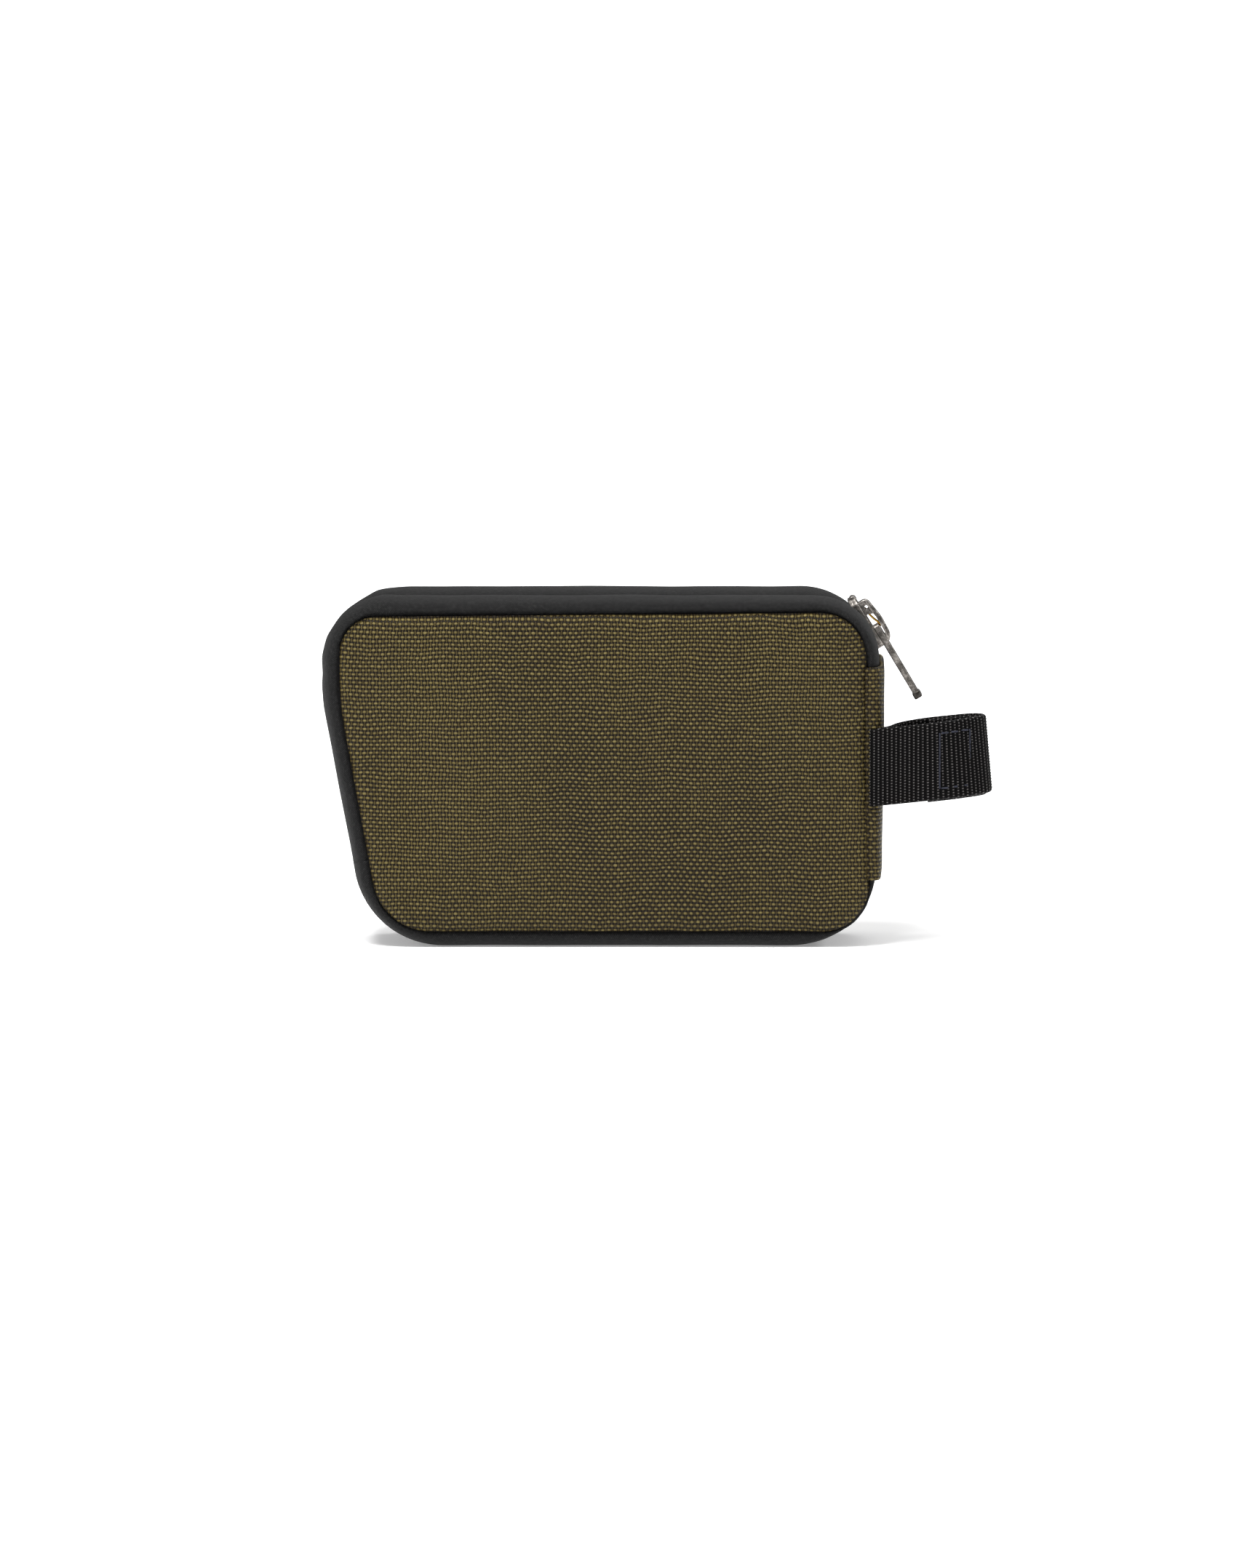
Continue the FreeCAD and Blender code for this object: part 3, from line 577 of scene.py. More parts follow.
def olive_weave():
    """Coarse ballistic cloth: olive yarns over brown-black gaps. The warp shows more in some places.

    The colour follows the weave's height: the brown-black in the gaps is painted shade and the lightest olive
    on the yarns' tops is painted highlight. It is also darkened as painted shade where the mesh marks that the
    cloth dives into a seam."""
    cloth = Cloth("olive_weave", roughness=0.5, specular=0.12)
    u, v = cloth.sheet()
    bend_u = cloth.noise(cloth.pair(u, v), 14.0) - 0.5
    bend_v = cloth.noise(cloth.pair(v, u, 40.0), 16.0) - 0.5
    warp_share = cloth.noise(cloth.pair(u * 0.4, v * 0.2), 24.0) * 0.7 + 0.38
    u, v = u + bend_u * 2.2, v + bend_v * 2.2
    height, weft, a, b = plain_weave(cloth, u, v, WARP_PITCH, WEFT_PITCH, warp_share)
    cell_tone = cloth.speckle(cloth.pair((a * 0.5).floor(), b.floor(), weft))
    row_tone = cloth.noise(cloth.pair(a * 0.15, b * 1.0), 1.3)
    fibres = cloth.noise(cloth.pair(a * 1.4, b * 5.0), 1.0, detail=3.0)
    light = height * 0.80 + cell_tone * 0.09 + (fibres - 0.5) * 0.22 + (row_tone - 0.5) * 0.12
    # painted shade: the colour darkens where the cloth dives into a seam, as marked on the mesh
    painted_seam_shade = cloth.node("ShaderNodeAttribute")
    painted_seam_shade.attribute_name = "painted_seam_shade"
    light *= Wire(cloth.tree, painted_seam_shade.outputs["Fac"]) * -0.55 + 1.02
    # the ramp turns the weave's height into colour: painted shade in the gaps and painted highlight on the
    # yarns' tops
    colour = cloth.ramp(
        light,
        [
            (0.12, (0.002, 0.001, 0.0003)),
            (0.48, (0.014, 0.009, 0.002)),
            (0.72, (0.068, 0.051, 0.015)),
            (1.0, (0.168, 0.136, 0.050)),
        ],
    )
    return cloth.finish(colour, height + (fibres - 0.5) * 0.1, depth=0.6)


def black_twill():
    """Fine black gusset cloth with a diagonal twill line and a little dust. Its colour runs from painted shadow
    in the twill's grooves to painted highlight on its ridges, mixed with the dust.
    """
    cloth = Cloth("black_twill", roughness=0.72, sheen=0.03, specular=0.1)
    u, v = cloth.sheet()
    drift = cloth.noise(cloth.pair(u, v), 9.0) - 0.5
    line = (((u + v + drift * 0.5) * (2 * math.pi / TWILL_PITCH)).wave() + 1.0) * 0.5
    crossing = (((u - v) * (4 * math.pi / TWILL_PITCH)).wave() + 1.0) * 0.5
    height = line * 0.7 + crossing * 0.3
    dust = cloth.noise(cloth.space(), 0.9, detail=4.0, roughness=0.7)
    # painted shadow in the twill's grooves and painted highlight on its ridges, mixed with dust
    shade = height * 0.35 + dust * 0.65
    shadow, thread, highlight = (0.002, 0.002, 0.002), (0.0075, 0.0075, 0.0076), (0.040, 0.039, 0.038)
    colour = cloth.ramp(shade, [(0.28, shadow), (0.6, thread), (0.85, highlight)])
    return cloth.finish(colour, height, depth=0.09)


def fine_cloth(name, dark, light, pitch, depth):
    """A finely woven cloth, used for the lining and the zip tape. Its colour is darker in the gaps of the weave
    as painted shade, and clouded.
    """
    cloth = Cloth(name, roughness=0.75, sheen=0.2)
    u, v = cloth.sheet()
    height, *_ = plain_weave(cloth, u, v, pitch, pitch)
    cloud = cloth.noise(cloth.space(), 7.0, detail=3.0)
    # painted shade in the gaps of the weave, mixed with a cloud of tone
    colour = cloth.ramp(height * 0.5 + cloud * 0.5, [(0.15, dark), (0.85, light)])
    return cloth.finish(colour, height, depth=depth)


def ribbed_tape(name, dark, light, pitch, depth):
    """Tape or elastic with ribs that run along it. Its colour is darker between ribs and threads as painted
    shade, and clouded.
    """
    cloth = Cloth(name, roughness=0.8, sheen=0.2)
    u, v = cloth.sheet()
    rib = (v * (math.pi / pitch)).wave().size()
    thread = (u * (math.pi / 0.5)).wave().size()
    height = rib * 0.7 + thread * 0.3
    shade = height * 0.6 + cloth.noise(cloth.space(), 3.0) * 0.4
    # painted shade between the ribs and threads, mixed with a cloud of tone
    colour = cloth.ramp(shade, [(0.2, dark), (0.9, light)])
    return cloth.finish(colour, height, depth=depth)


def webbing_yarn():
    """Black webbing. The ribs are in the mesh; in the colour, painted highlight lightens their beads
    and painted shade keeps the gaps dark.
    """
    cloth = Cloth("webbing_yarn", roughness=0.5, specular=0.05)
    u, v = cloth.sheet()
    ribs = u * (1 / RIB_PITCH)
    rib = (ribs * math.pi).wave_down().size()
    odd = ((ribs + 0.5).floor() * 0.5).fraction()
    bead = ((v * (1 / BEAD_PITCH) + odd) * (2 * math.pi)).wave_down() * 0.5 + 0.5
    fibres = cloth.noise(cloth.pair(u * 0.5, v * 4.0), 0.5, detail=4.0, roughness=0.7)
    lint = cloth.noise(cloth.space(), 0.7, detail=4.0, roughness=0.8)
    # painted highlight on the beads and painted shade between the ribs, roughened by fibres and lint
    shade = rib * (bead * 0.45 + 0.55) * 0.8 + (fibres + lint - 1.0) * 0.3
    shadow, thread, highlight = (0.0004, 0.0003, 0.0003), (0.002, 0.0018, 0.0018), (0.095, 0.090, 0.087)
    colour = cloth.ramp(shade, [(0.28, shadow), (0.6, thread), (0.84, highlight)])
    return cloth.finish(colour, shade, depth=0.12)


def worn_metal(name, dark, light, scratch=0.5, roughness=0.3):
    """Plated metal with cloudy worn patches, fine scratches and brighter edges, which are lightened partly as
    worn plating and partly as painted highlight.
    """
    metal = Cloth(name, roughness=roughness, metallic=1.0)
    place = metal.space()
    cloud = metal.noise(place, 2.4, detail=5.0, roughness=0.65)
    fine = metal.noise(place, 0.35, detail=4.0, roughness=0.8)
    # painted highlight: convex edges get a lighter colour, partly also as worn plating
    edge = Wire(metal.tree, metal.node("ShaderNodeNewGeometry").outputs["Pointiness"])
    wear_and_edge_highlight = cloud * 0.6 + fine * 0.4 + (edge - 0.5).largest(0.0) * 3.0
    middle = tuple(low + (high - low) * 0.16 for low, high in zip(dark, light))
    colour = metal.ramp(wear_and_edge_highlight, [(0.38, dark), (0.56, middle), (0.80, light)])
    rough = wear_and_edge_highlight * 0.35 + roughness * 0.6
    return metal.finish(colour, fine, depth=0.03 * scratch, roughness=rough)


def moulded(name, dark, light, roughness):
    """Moulded or spun plastic with a faint grain."""
    plastic = Cloth(name, roughness=roughness)
    grain = plastic.noise(plastic.space(), 0.6, detail=3.0)
    return plastic.finish(plastic.ramp(grain, [(0.3, dark), (0.7, light)]), grain, depth=0.03)


MATERIALS = {
    "olive_cloth": olive_weave(),
    "black_cloth": black_twill(),
    "lining_cloth": fine_cloth("lining_cloth_look", (0.10, 0.10, 0.105), (0.21, 0.21, 0.215), 0.5, 0.05),
    "zip_tape": fine_cloth("zip_tape_look", (0.010, 0.010, 0.011), (0.040, 0.040, 0.042), 0.6, 0.1),
    "binding_tape": ribbed_tape("binding_look", (0.012, 0.012, 0.013), (0.050, 0.050, 0.052), 0.8, 0.12),
    "elastic": ribbed_tape("elastic_look", (0.012, 0.012, 0.013), (0.055, 0.055, 0.057), 1.4, 0.25),
    "webbing": webbing_yarn(),
    "zip_coil": moulded("coil_look", (0.010, 0.010, 0.011), (0.030, 0.030, 0.032), 0.35),
    "thread": moulded("thread_look", (0.003, 0.004, 0.008), (0.010, 0.012, 0.024), 0.7),
    "mesh": moulded("mesh_look", (0.012, 0.012, 0.013), (0.045, 0.045, 0.047), 0.7),
    "worn_nickel": worn_metal("nickel_look", (0.014, 0.012, 0.010), (0.55, 0.51, 0.47)),
    "foam": moulded("foam_look", (0.30, 0.30, 0.29), (0.42, 0.42, 0.40), 0.9),
    "brass_spring": worn_metal("spring_look", (0.55, 0.22, 0.02), (0.95, 0.50, 0.06), 0.3, 0.25),
}


def settle(obj, slot, node, body=None):
    """Gives a piece its material, hides the CAD node that it stands for and ties it to the body that it moves
    with.

    Cloth without a body joins the halves; its placement is baked into its mesh."""
    obj.data.materials.clear()
    obj.data.materials.append(MATERIALS[slot])
    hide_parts(node)
    if body:
        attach(obj, body)
    else:
        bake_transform(obj)


def add_sheet(name, grid, thickness, slot, node, body=None):
    """A sheet of cloth from a grid of points."""
    sheet = grid_object(name, grid)
    thicken(sheet, thickness)
    settle(sheet, slot, node, body)


def paint_seam_shade(obj, from_seam, fade):
    """Marks how much painted shade each point gets where the cloth dives into a seam: 1 at the seam, falling to
    0 over the fade.
    """
    depth = np.clip(1 - from_seam / fade, 0, 1)
    obj.data.attributes.new("painted_seam_shade", "FLOAT", "POINT").data.foreach_set("value", depth)


# which way from the middle, and the name used in nodes and bodies
HALVES = ((-1, "front"), (1, "back"))

# ---------------------------------------------------------------- walls

# a wall starts below the seam plane, bulges over a round rim and swells to a cushion
RIM_WIDTH = 6.5
RIM_SINK = 1.2
RIM_RISE = 3.6
CUSHION_WIDTH = 42.0
CUSHION_RISE = 2.2
# its mesh: points on the rim, rings inside it, and how far in the even grid begins
RIM_POINTS = 360
RIM_RINGS = (0.6, 1.3, 2.2, 3.4, 5.0, 7.0, 9.4)
GRID_INSET = 11.0


def wall_plan(inset, step=2.2):
    """A triangle mesh of the wall in x and z: rings close to the rim, an even grid inside."""
    rim = resample(outline(-inset), RIM_POINTS)
    points = [rim]
    for extra in RIM_RINGS:
        points.append(resample(outline(-inset - extra), int(RIM_POINTS - 9 * extra)))
    xs = np.arange(-SEAM_LEFT, SEAM_RIGHT, step)
    zs = np.arange(SEAM_BOTTOM, SEAM_TOP, step)
    grid = np.array([(x + (k % 2) * step / 2, z) for k, z in enumerate(zs) for x in xs])
    points.append(grid[inside_outline(grid, outline(-inset - GRID_INSET))])
    edges = [(i, (i + 1) % len(rim)) for i in range(len(rim))]
    made = geometry.delaunay_2d_cdt([Vector(p) for p in np.vstack(points)], edges, [], 1, 1e-4)
    return np.array([tuple(p) for p in made[0]]), [tuple(face) for face in made[2]]


def inside_outline(points, ring):
    """Which points lie inside a closed ring, by counting crossings."""
    ahead = np.roll(ring, -1, axis=0)
    x, z = points[:, :1], points[:, 1:]
    crosses = (ring[:, 1] > z) != (ahead[:, 1] > z)
    slope = (ahead[:, 0] - ring[:, 0]) / np.where(ahead[:, 1] == ring[:, 1], 1e-9, ahead[:, 1] - ring[:, 1])
    left_of = x < ring[:, 0] + slope * (z - ring[:, 1])
    return (crosses & left_of).sum(axis=1) % 2 == 1


def crown_rise(inset):
    """How far the wall stands out from the seam plane."""
    edge = np.sqrt(np.clip(1 - (1 - np.clip(inset / RIM_WIDTH, 0, 1)) ** 2, 0, 1))
    return -RIM_SINK + RIM_RISE * edge + CUSHION_RISE * ease(RIM_WIDTH, CUSHION_WIDTH, inset)


def add_wall(side, place):
    """One padded wall, a little slack in the middle and puckered along its seam."""
    plan, faces = wall_plan(inset=0.4)
    inset = seam.inset(plan)
    slack = 0.35 * ripples(plan, side * 5, 26) + 0.12 * ripples(plan, side * 5, 9, 3.0)
    puckers = 0.34 * ripples(plan, side * 9, 5.5, 7.0) * ease(0.3, 2.0, inset) * np.exp(-inset / 5.0)
    rise = crown_rise(inset) + slack * ease(2.0, 9.0, inset) + puckers
    vertices = at_depth(plan, side * (HALF_DEPTH + rise))
    if side > 0:
        faces = [face[::-1] for face in faces]
    wall = new_object(place + "_wall_cloth", vertices, faces, [tuple(p) for p in plan * (-side, 1)])
    if wall.data.polygons[0].normal.y * side < 0:
        wall.data.flip_normals()
    # painted shade along the wall's rim, where it dives into the seam
    paint_seam_shade(wall, inset, fade=1.0)
    billow(wall, np.where(inset < 1.4, 1.0, 0.0), pressure=0.5, cap=1.1)
    thicken(wall, 0.7)
    settle(wall, "olive_cloth", place + "_panel", place + "_half")


def billow(obj, pins, pressure, cap, frames=16):
    """Lets a sheet swell under pressure with its pinned points held, and applies the result."""
    group = obj.vertex_groups.new(name="held")
    for index, weight in enumerate(pins):
        if weight > 0:
            group.add([index], float(weight), "REPLACE")
    before = np.array([v.co for v in obj.data.vertices])
    cloth = obj.modifiers.new("Cloth", "CLOTH")
    settings = {"quality": 6, "mass": 0.15, "vertex_group_mass": "held", "use_pressure": True}
    stiffness = {"tension": 25, "compression": 25, "shear": 10, "bending": 0.6}
    settings |= {kind + "_stiffness": amount for kind, amount in stiffness.items()}
    for name, amount in settings.items():
        setattr(cloth.settings, name, amount)
    cloth.settings.uniform_pressure_force = pressure
    cloth.settings.effector_weights.gravity = 0
    cloth.point_cache.frame_start = 1
    cloth.point_cache.frame_end = frames
    for step in range(1, frames + 1):
        bpy.context.scene.frame_set(step)
    bake(obj)
    after = np.array([v.co for v in obj.data.vertices])
    move = after - before
    length = np.linalg.norm(move, axis=1)[:, None]
    limited = move * np.minimum(1, cap * MM / np.maximum(length, 1e-12))
    obj.data.vertices.foreach_set("co", (before + limited).astype(np.float32).ravel())
    obj.vertex_groups.clear()
    bpy.context.scene.frame_set(1)


for side, place in HALVES:
    add_wall(side, place)

# ---------------------------------------------------------------- gusset

left_end = seam.place(-1, MOUTH_LEFT)
right_end = seam.place(1, MOUTH_RIGHT)

# y, grow and crowning from the seam valley out to the crown
SEAM_ROLL = (
    (HALF_DEPTH - 1.3, -1.3, 0.0),
    (HALF_DEPTH - 1.1, 0.1, 0.0),
    (HALF_DEPTH - 0.2, 1.3, 0.2),
    (HALF_DEPTH - 1.3, 2.8, 0.5),
    (21.3, 3.9, 0.8),
)
CROWN_MIDDLE = CROWN - 0.45


def pucker(grid, strength=1.0, seed=0.0):
    """Small folds that start at the seam and die out over the roll, and softer waves along it."""
    normal = np.cross(np.gradient(grid, axis=0), np.gradient(grid, axis=1))
    normal /= np.linalg.norm(normal, axis=2)[..., None] + 1e-9

    def size(x, y, z):
        from_seam = abs(abs(y) - HALF_DEPTH)
        folds = 0.16 * math.exp(-from_seam / 3.0) * ripple((x * 1.6, y * 0.25, z * 1.6), 5.5, seed)
        wrinkles = 0.42 * corner_share(x, z) * ripple((x * 1.4, y * 0.3, z * 1.4), 7.0, seed + 9)
        return folds + 0.22 * ripple((x, y, z), 17, seed + 5) + wrinkles

    sizes = np.array([[size(*point) for point in row] for row in grid])
    return grid + normal * sizes[..., None] * strength


def both_sides(half):
    """Stations from the front seam to the back seam, from those between a seam and the middle."""
    return [(-y, grow, crowning) for y, grow, crowning in half] + half[::-1]


def corner_share(x, z):
    """1 close to the top left corner of the pouch, where the gusset gathers into wrinkles."""
    gap = math.hypot(x + SEAM_LEFT - 4, z - SEAM_TOP + 6)
    return float(1 - ease(8.0, 30.0, gap))


def add_zipped_gusset(side, place):
    """One roll along the mouth: out from the seam, over the crown, down to the lip and folded under."""
    stations = [
        *SEAM_ROLL,
        (CROWN_STATION + 1.0, CROWN_MIDDLE - 0.05, 1.0),
        (14.0, CROWN_MIDDLE - 0.1, 1.0),
        (10.0, CROWN_MIDDLE - 0.8, 1.0),
        (LIP + 0.9, 2.6, 1.0),
        (LIP + 0.1, 1.7, 1.0),
        (LIP + 0.5, 1.0, 1.0),
        (LIP + 2.4, 0.8, 1.0),
    ]
    places = np.linspace(left_end, right_end, 300)
    grid = gusset_grid(places, [(side * y, grow, crowning) for y, grow, crowning in stations], front=side < 0)
    add_sheet(place + "_gusset_roll", pucker(grid), 0.8, "black_cloth", place + "_gusset", place + "_half")


def closed_stations():
    """The full width of a closed stretch, from the front seam to the back seam."""
    crown = ((CROWN_STATION + 1.0, 0.05), (12.0, 0.0), (6.0, 0.0))
    return both_sides([*SEAM_ROLL, *((y, CROWN_MIDDLE - sink, 1.0) for y, sink in crown)])


def add_closed_gusset():
    """Down the right end, under the pouch and up to the zip's left end. The base stays on the floor."""
    places = np.linspace(right_end, left_end + seam.length, 260)
    grid = gusset_grid(places, closed_stations())
    flat = grid[..., 2].copy()
    grid = pucker(grid)
    grid[..., 2] = np.maximum(grid[..., 2], np.where(flat < 1.0, 0.0, -1e9))
    add_sheet("closed_gusset_cloth", grid, 0.9, "black_cloth", "bottom_gusset")


for side, place in HALVES:
    add_zipped_gusset(side, place)
add_closed_gusset()

# ---------------------------------------------------------------- zip

COIL_PITCH = 1.25
COIL_WIRE = 0.32
COIL_START = left_end + 3.2
COIL_END = right_end - 3.2
# the middle of the spiral's section, as y and grow, and how far its loops reach
COIL_MIDDLE = (1.7, 1.75)
COIL_REACH = (2.2, 0.75)


def add_zip_tape(side, place):
    """The woven tape that carries one half of the coil."""
    places = np.linspace(left_end + 0.2, right_end - 0.2, 260)
    stations = [(side * y, 0.35, 1.0) for y in (0.4, 3.0, 6.0, 9.0)]
    grid = gusset_grid(places, stations)
    add_sheet(place + "_zip_tape_cloth", grid, 0.5, "zip_tape", "zip_tape_" + place, place + "_half")


def add_zip_coil(side, place):
    """A spiral of filament whose loops reach past the middle, between two loops of the other side."""
    loops = int((COIL_END - COIL_START) / COIL_PITCH)
    turn = np.linspace(0, loops * 2 * math.pi, loops * 12 + 1)
    shift = 0.25 * side * COIL_PITCH
    points, normals = seam.at(COIL_START + shift + turn / (2 * math.pi) * COIL_PITCH)
    out = reach(points, normals, COIL_MIDDLE[1], 1.0) + COIL_REACH[1] * np.sin(turn)
    path = at_depth(points + normals * out[:, None], side * (COIL_MIDDLE[0] - COIL_REACH[0] * np.cos(turn)))
    coil = thread_object(place + "_coil_spiral", [path], COIL_WIRE, 5)
    settle(coil, "zip_coil", "zip_coil_" + place, place + "_half")


def add_zip_stops():
    """A moulded block over the coil at each end of the mouth."""
    parts = []
    for place in (left_end + 1.4, right_end - 1.4):
        points, normals = seam.at(np.array([place]))
        point, normal = points[0] + normals[0] * reach(points, normals, 0.0, 1.0)[0], normals[0]
        block = plate("stop", [mirrored([((-0.9, -4.0), 0.6), ((0.9, -4.0), 0.6)])], 0.7, 3.1, 0.5)
        turn = Matrix.Rotation(math.atan2(normal[0], normal[1]), 4, "Y")
        block.data.transform(Matrix.Translation((point[0], 0, point[1])) @ turn)
        parts.append(block)
    stops = joined("zip_stop_blocks", parts, Matrix.Identity(4))
    settle(stops, "zip_coil", "zip_stops", BACK)


for side, place in HALVES:
    add_zip_tape(side, place)
    add_zip_coil(side, place)
add_zip_stops()

# ---------------------------------------------------------------- slider and pull


def joint_place(name):
    """A point on a joint's axis, in millimetres."""
    joints = frame["record"]["behaviour"]["joints"]
    joint = next(joint for joint in joints if joint["name"] == name)
    return Matrix.Translation(Vector(joint["pos_m"]) / MM)


# the slider's own frame: +x to its tail, +z out from the centre of the corner it rides on.
# The blades and flanges lie between two heights each
UPPER_BLADE = (17.9, 19.5)
FLANGE = (17.0, 18.6)
LOWER_BLADE = (11.5, 12.6)
SLIDER_TURN = math.radians(58)
PULL_DROOP = math.radians(1.2)
SLIDER_PLACE = joint_place("slider_travel") @ Matrix.Rotation(SLIDER_TURN, 4, "Y")
PULL_PLACE = joint_place("pull_swing") @ Matrix.Rotation(SLIDER_TURN + PULL_DROOP, 4, "Y")


def add_slider_body():
    """Upper blade with side flanges and a raised nose, lower blade, and the neck that joins them."""
    nose = [((-9.6, -4.2), 2.2), ((-7.2, -6.4), 2.0)]
    tail = [((0.0, -6.4), 0.5), ((0.5, -5.4), 0.5), ((9.0, -5.2), 1.4)]
    blade = mirrored(nose + tail)
    well = mirrored([((-6.6, -4.4), 1.2), ((-0.3, -5.2), 0.5), ((0.4, -4.4), 0.5), ((8.2, -4.2), 0.8)])
    block = [((-10.2, 17.5), 0.8), ((-8.0, 17.9), 0.8), ((-7.6, 19.8), 0.7), ((-9.7, 19.8), 1.1)]
    keel = mirrored([((-8.5, -4.2), 1.5), ((-4.2, -6.0), 2.0), ((8.0, -4.2), 1.2)])
    neck = mirrored([((-7.6, -0.7), 0.5), ((-6.6, -1.2), 0.5), ((-5.4, -0.5), 0.4)])
    parts = [
        plate("blade", [blade], *UPPER_BLADE, 0.3),
        plate("skirt", [blade, well], *FLANGE, 0.25),
        plate("nose", [block], -3.7, 3.7, 0.5, upright=True),
        plate("keel", [keel], *LOWER_BLADE, 0.3),
        plate("neck", [neck], LOWER_BLADE[0] + 0.5, FLANGE[1], 0.1),
    ]
    settle(joined("slider_blades", parts, SLIDER_PLACE), "worn_nickel", "slider_body", "slider")


def add_slider_bridge():
    """A cast arch: a rounded rim round a thinner web, with a small hole and the window for the bar."""
    outer = [((-6.9, 19.2), 0.4), ((-7.0, 22.6), 1.9), ((1.0, 23.6), 16.0)]
    outer += [((7.6, 23.1), 3.4), ((8.9, 21.4), 1.0), ((8.3, 19.2), 0.3)]
    inner = [((-5.9, 18.9), 0.2), ((-5.9, 21.7), 1.2), ((1.0, 22.5), 16.0)]
    inner += [((6.8, 22.1), 2.4), ((7.8, 20.8), 0.5), ((7.3, 18.9), 0.2)]
    window = [((-2.3, 19.6), 0.5), ((-1.3, 22.0), 0.6)]
    window += [((5.4, 22.0), 1.0), ((6.9, 21.0), 0.5), ((6.9, 19.6), 0.3)]
    hole = [((-4.9, 20.5), 0.5), ((-3.8, 20.5), 0.5), ((-3.8, 21.6), 0.5), ((-4.9, 21.6), 0.5)]
    parts = [
        plate("rim", [outer, inner], -2.2, 2.2, 0.35, upright=True),
        plate("web", [outer, window, hole], -1.5, 1.5, 0.12, upright=True),
    ]
    settle(joined("slider_cast_bridge", parts, SLIDER_PLACE), "worn_nickel", "slider_bridge", "slider")


def add_slider_spring():
    """The brass-coloured leaf that leads from under the bridge up to the pull's bar."""
    strip = [(-4.4, 20.4), (-1.9, 20.6), (0.2, 21.1), (1.9, 21.75), (3.4, 21.9)]
    line = resample(smooth_between(np.array(strip), 6), 24, closed=False)
    grid = np.array([[SLIDER_PLACE @ Vector((x, y, z)) for y in (-0.9, -0.3, 0.3, 0.9)] for x, z in line])
    add_sheet("slider_leaf_spring", grid, 0.6, "brass_spring", "slider_spring", "slider")


def add_pull_tab():
    """A flat cast pull: an eye round the bridge, a sunk panel on each face and a lip at the tip."""
    outline_half = [((-0.9, -3.9), 0.9), ((11.5, -3.9), 4.0), ((15.0, -3.4), 6.0), ((26.3, -3.4), 0.9)]
    eye = mirrored([((0.9, -2.6), 0.5), ((10.9, -2.6), 1.6)])
    panel = mirrored([((13.4, -2.1), 0.8), ((22.6, -2.3), 0.8)])
    parts = [
        plate("frame", [mirrored(outline_half), eye, panel], -1.0, 1.0, 0.3),
        plate("core", [mirrored([((12.6, -2.6), 0.3), ((23.6, -2.6), 0.3)])], -0.7, 0.7, 0.1),
        plate("lip", [mirrored([((24.2, -3.6), 0.5), ((26.5, -3.6), 0.5)])], -1.35, 1.35, 0.5),
    ]
    settle(joined("cast_pull", parts, PULL_PLACE), "worn_nickel", "pull_tab", "pull")


add_slider_body()
add_slider_bridge()
add_slider_spring()
add_pull_tab()

# ---------------------------------------------------------------- grab loop

WEB_THICK = 1.4
WEB_EDGE = 0.9
RIB_HEIGHT = 0.36
# slopes: up along the loop, and sideways over its height at the bend
WEB_RISE = 0.103
WEB_LEAN = 0.085
STITCH_PITCH = 2.6
STITCH_LENGTH = 2.4
STITCH_LIFT = 0.28
STITCH_INSET = 3.6
LOOP_BENDS = (
    ((85.4, -26.6), 0),
    ((111.5, -26.2), 25.0),
    ((122.6, -16.2), 7.0),
    ((119.2, -6.9), 6.0),
    ((97.5, -6.4), 14.0),
    ((92.3, -22.6), 8.0),
    ((88.2, -26.2), 3.0),
    ((85.4, -26.4), 0),
)


def loop_path(step):
    """The inner face of the loop from above, its outward normals and the distance along it."""
    line = bent_path(LOOP_BENDS, closed=False)
    line = resample(line, int(lengths(line)[-1] / step), closed=False)
    ahead = unit(np.gradient(line, axis=0))
    return line, np.stack([ahead[:, 1], -ahead[:, 0]], axis=1), lengths(line)


def web_relief(u, v):
    """Ribs across the strap, each a row of small beads."""
    rib = np.abs(np.cos(math.pi * u / RIB_PITCH)) ** 1.5
    odd = np.floor(u / RIB_PITCH + 0.5) % 2
    bead = 0.5 + 0.5 * np.cos(2 * math.pi * (v / BEAD_PITCH + 0.5 * odd))
    return RIB_HEIGHT * rib * (0.45 + 0.55 * bead)


def webbing(name, line, normals, along, offset, low, high):
    """A band of webbing standing off a line, with woven faces and rounded edges."""
    columns = int((high - low) / 0.2)
    v = np.linspace(0, high - low, columns)
    edge = np.clip(np.minimum(v, v[-1] - v) / WEB_EDGE, 0, 1)
    half = (WEB_THICK / 2 - 0.2) * np.sqrt(1 - (1 - edge) ** 2) * 0.95 + 0.1
    grid_u, grid_v = np.meshgrid(along, v, indexing="ij")
    relief = web_relief(grid_u, grid_v) * edge
    middle = offset + WEB_THICK / 2
    faces = []
    for sign in (1, -1):
        away = middle + sign * (half[None, :] + relief)
        flat = line[:, None, :] + normals[:, None, :] * away[..., None]
        sag = 0.12 * np.array([ripple((p[0], 0, 0), 9, 4.0) for p in line])
        z = low + grid_v + WEB_RISE * (flat[..., 0] - loop_low.x) + sag[:, None]
        lean = WEB_LEAN * (high - low - grid_v) * ease(100.0, 121.0, flat[..., 0])
        face = np.dstack([flat[..., 0] + lean, flat[..., 1], z])
        faces.append(face if sign > 0 else face[:, ::-1])
    return tube_object(name, np.concatenate(faces, axis=1), along, np.concatenate([v, v[::-1]]), closed=False)


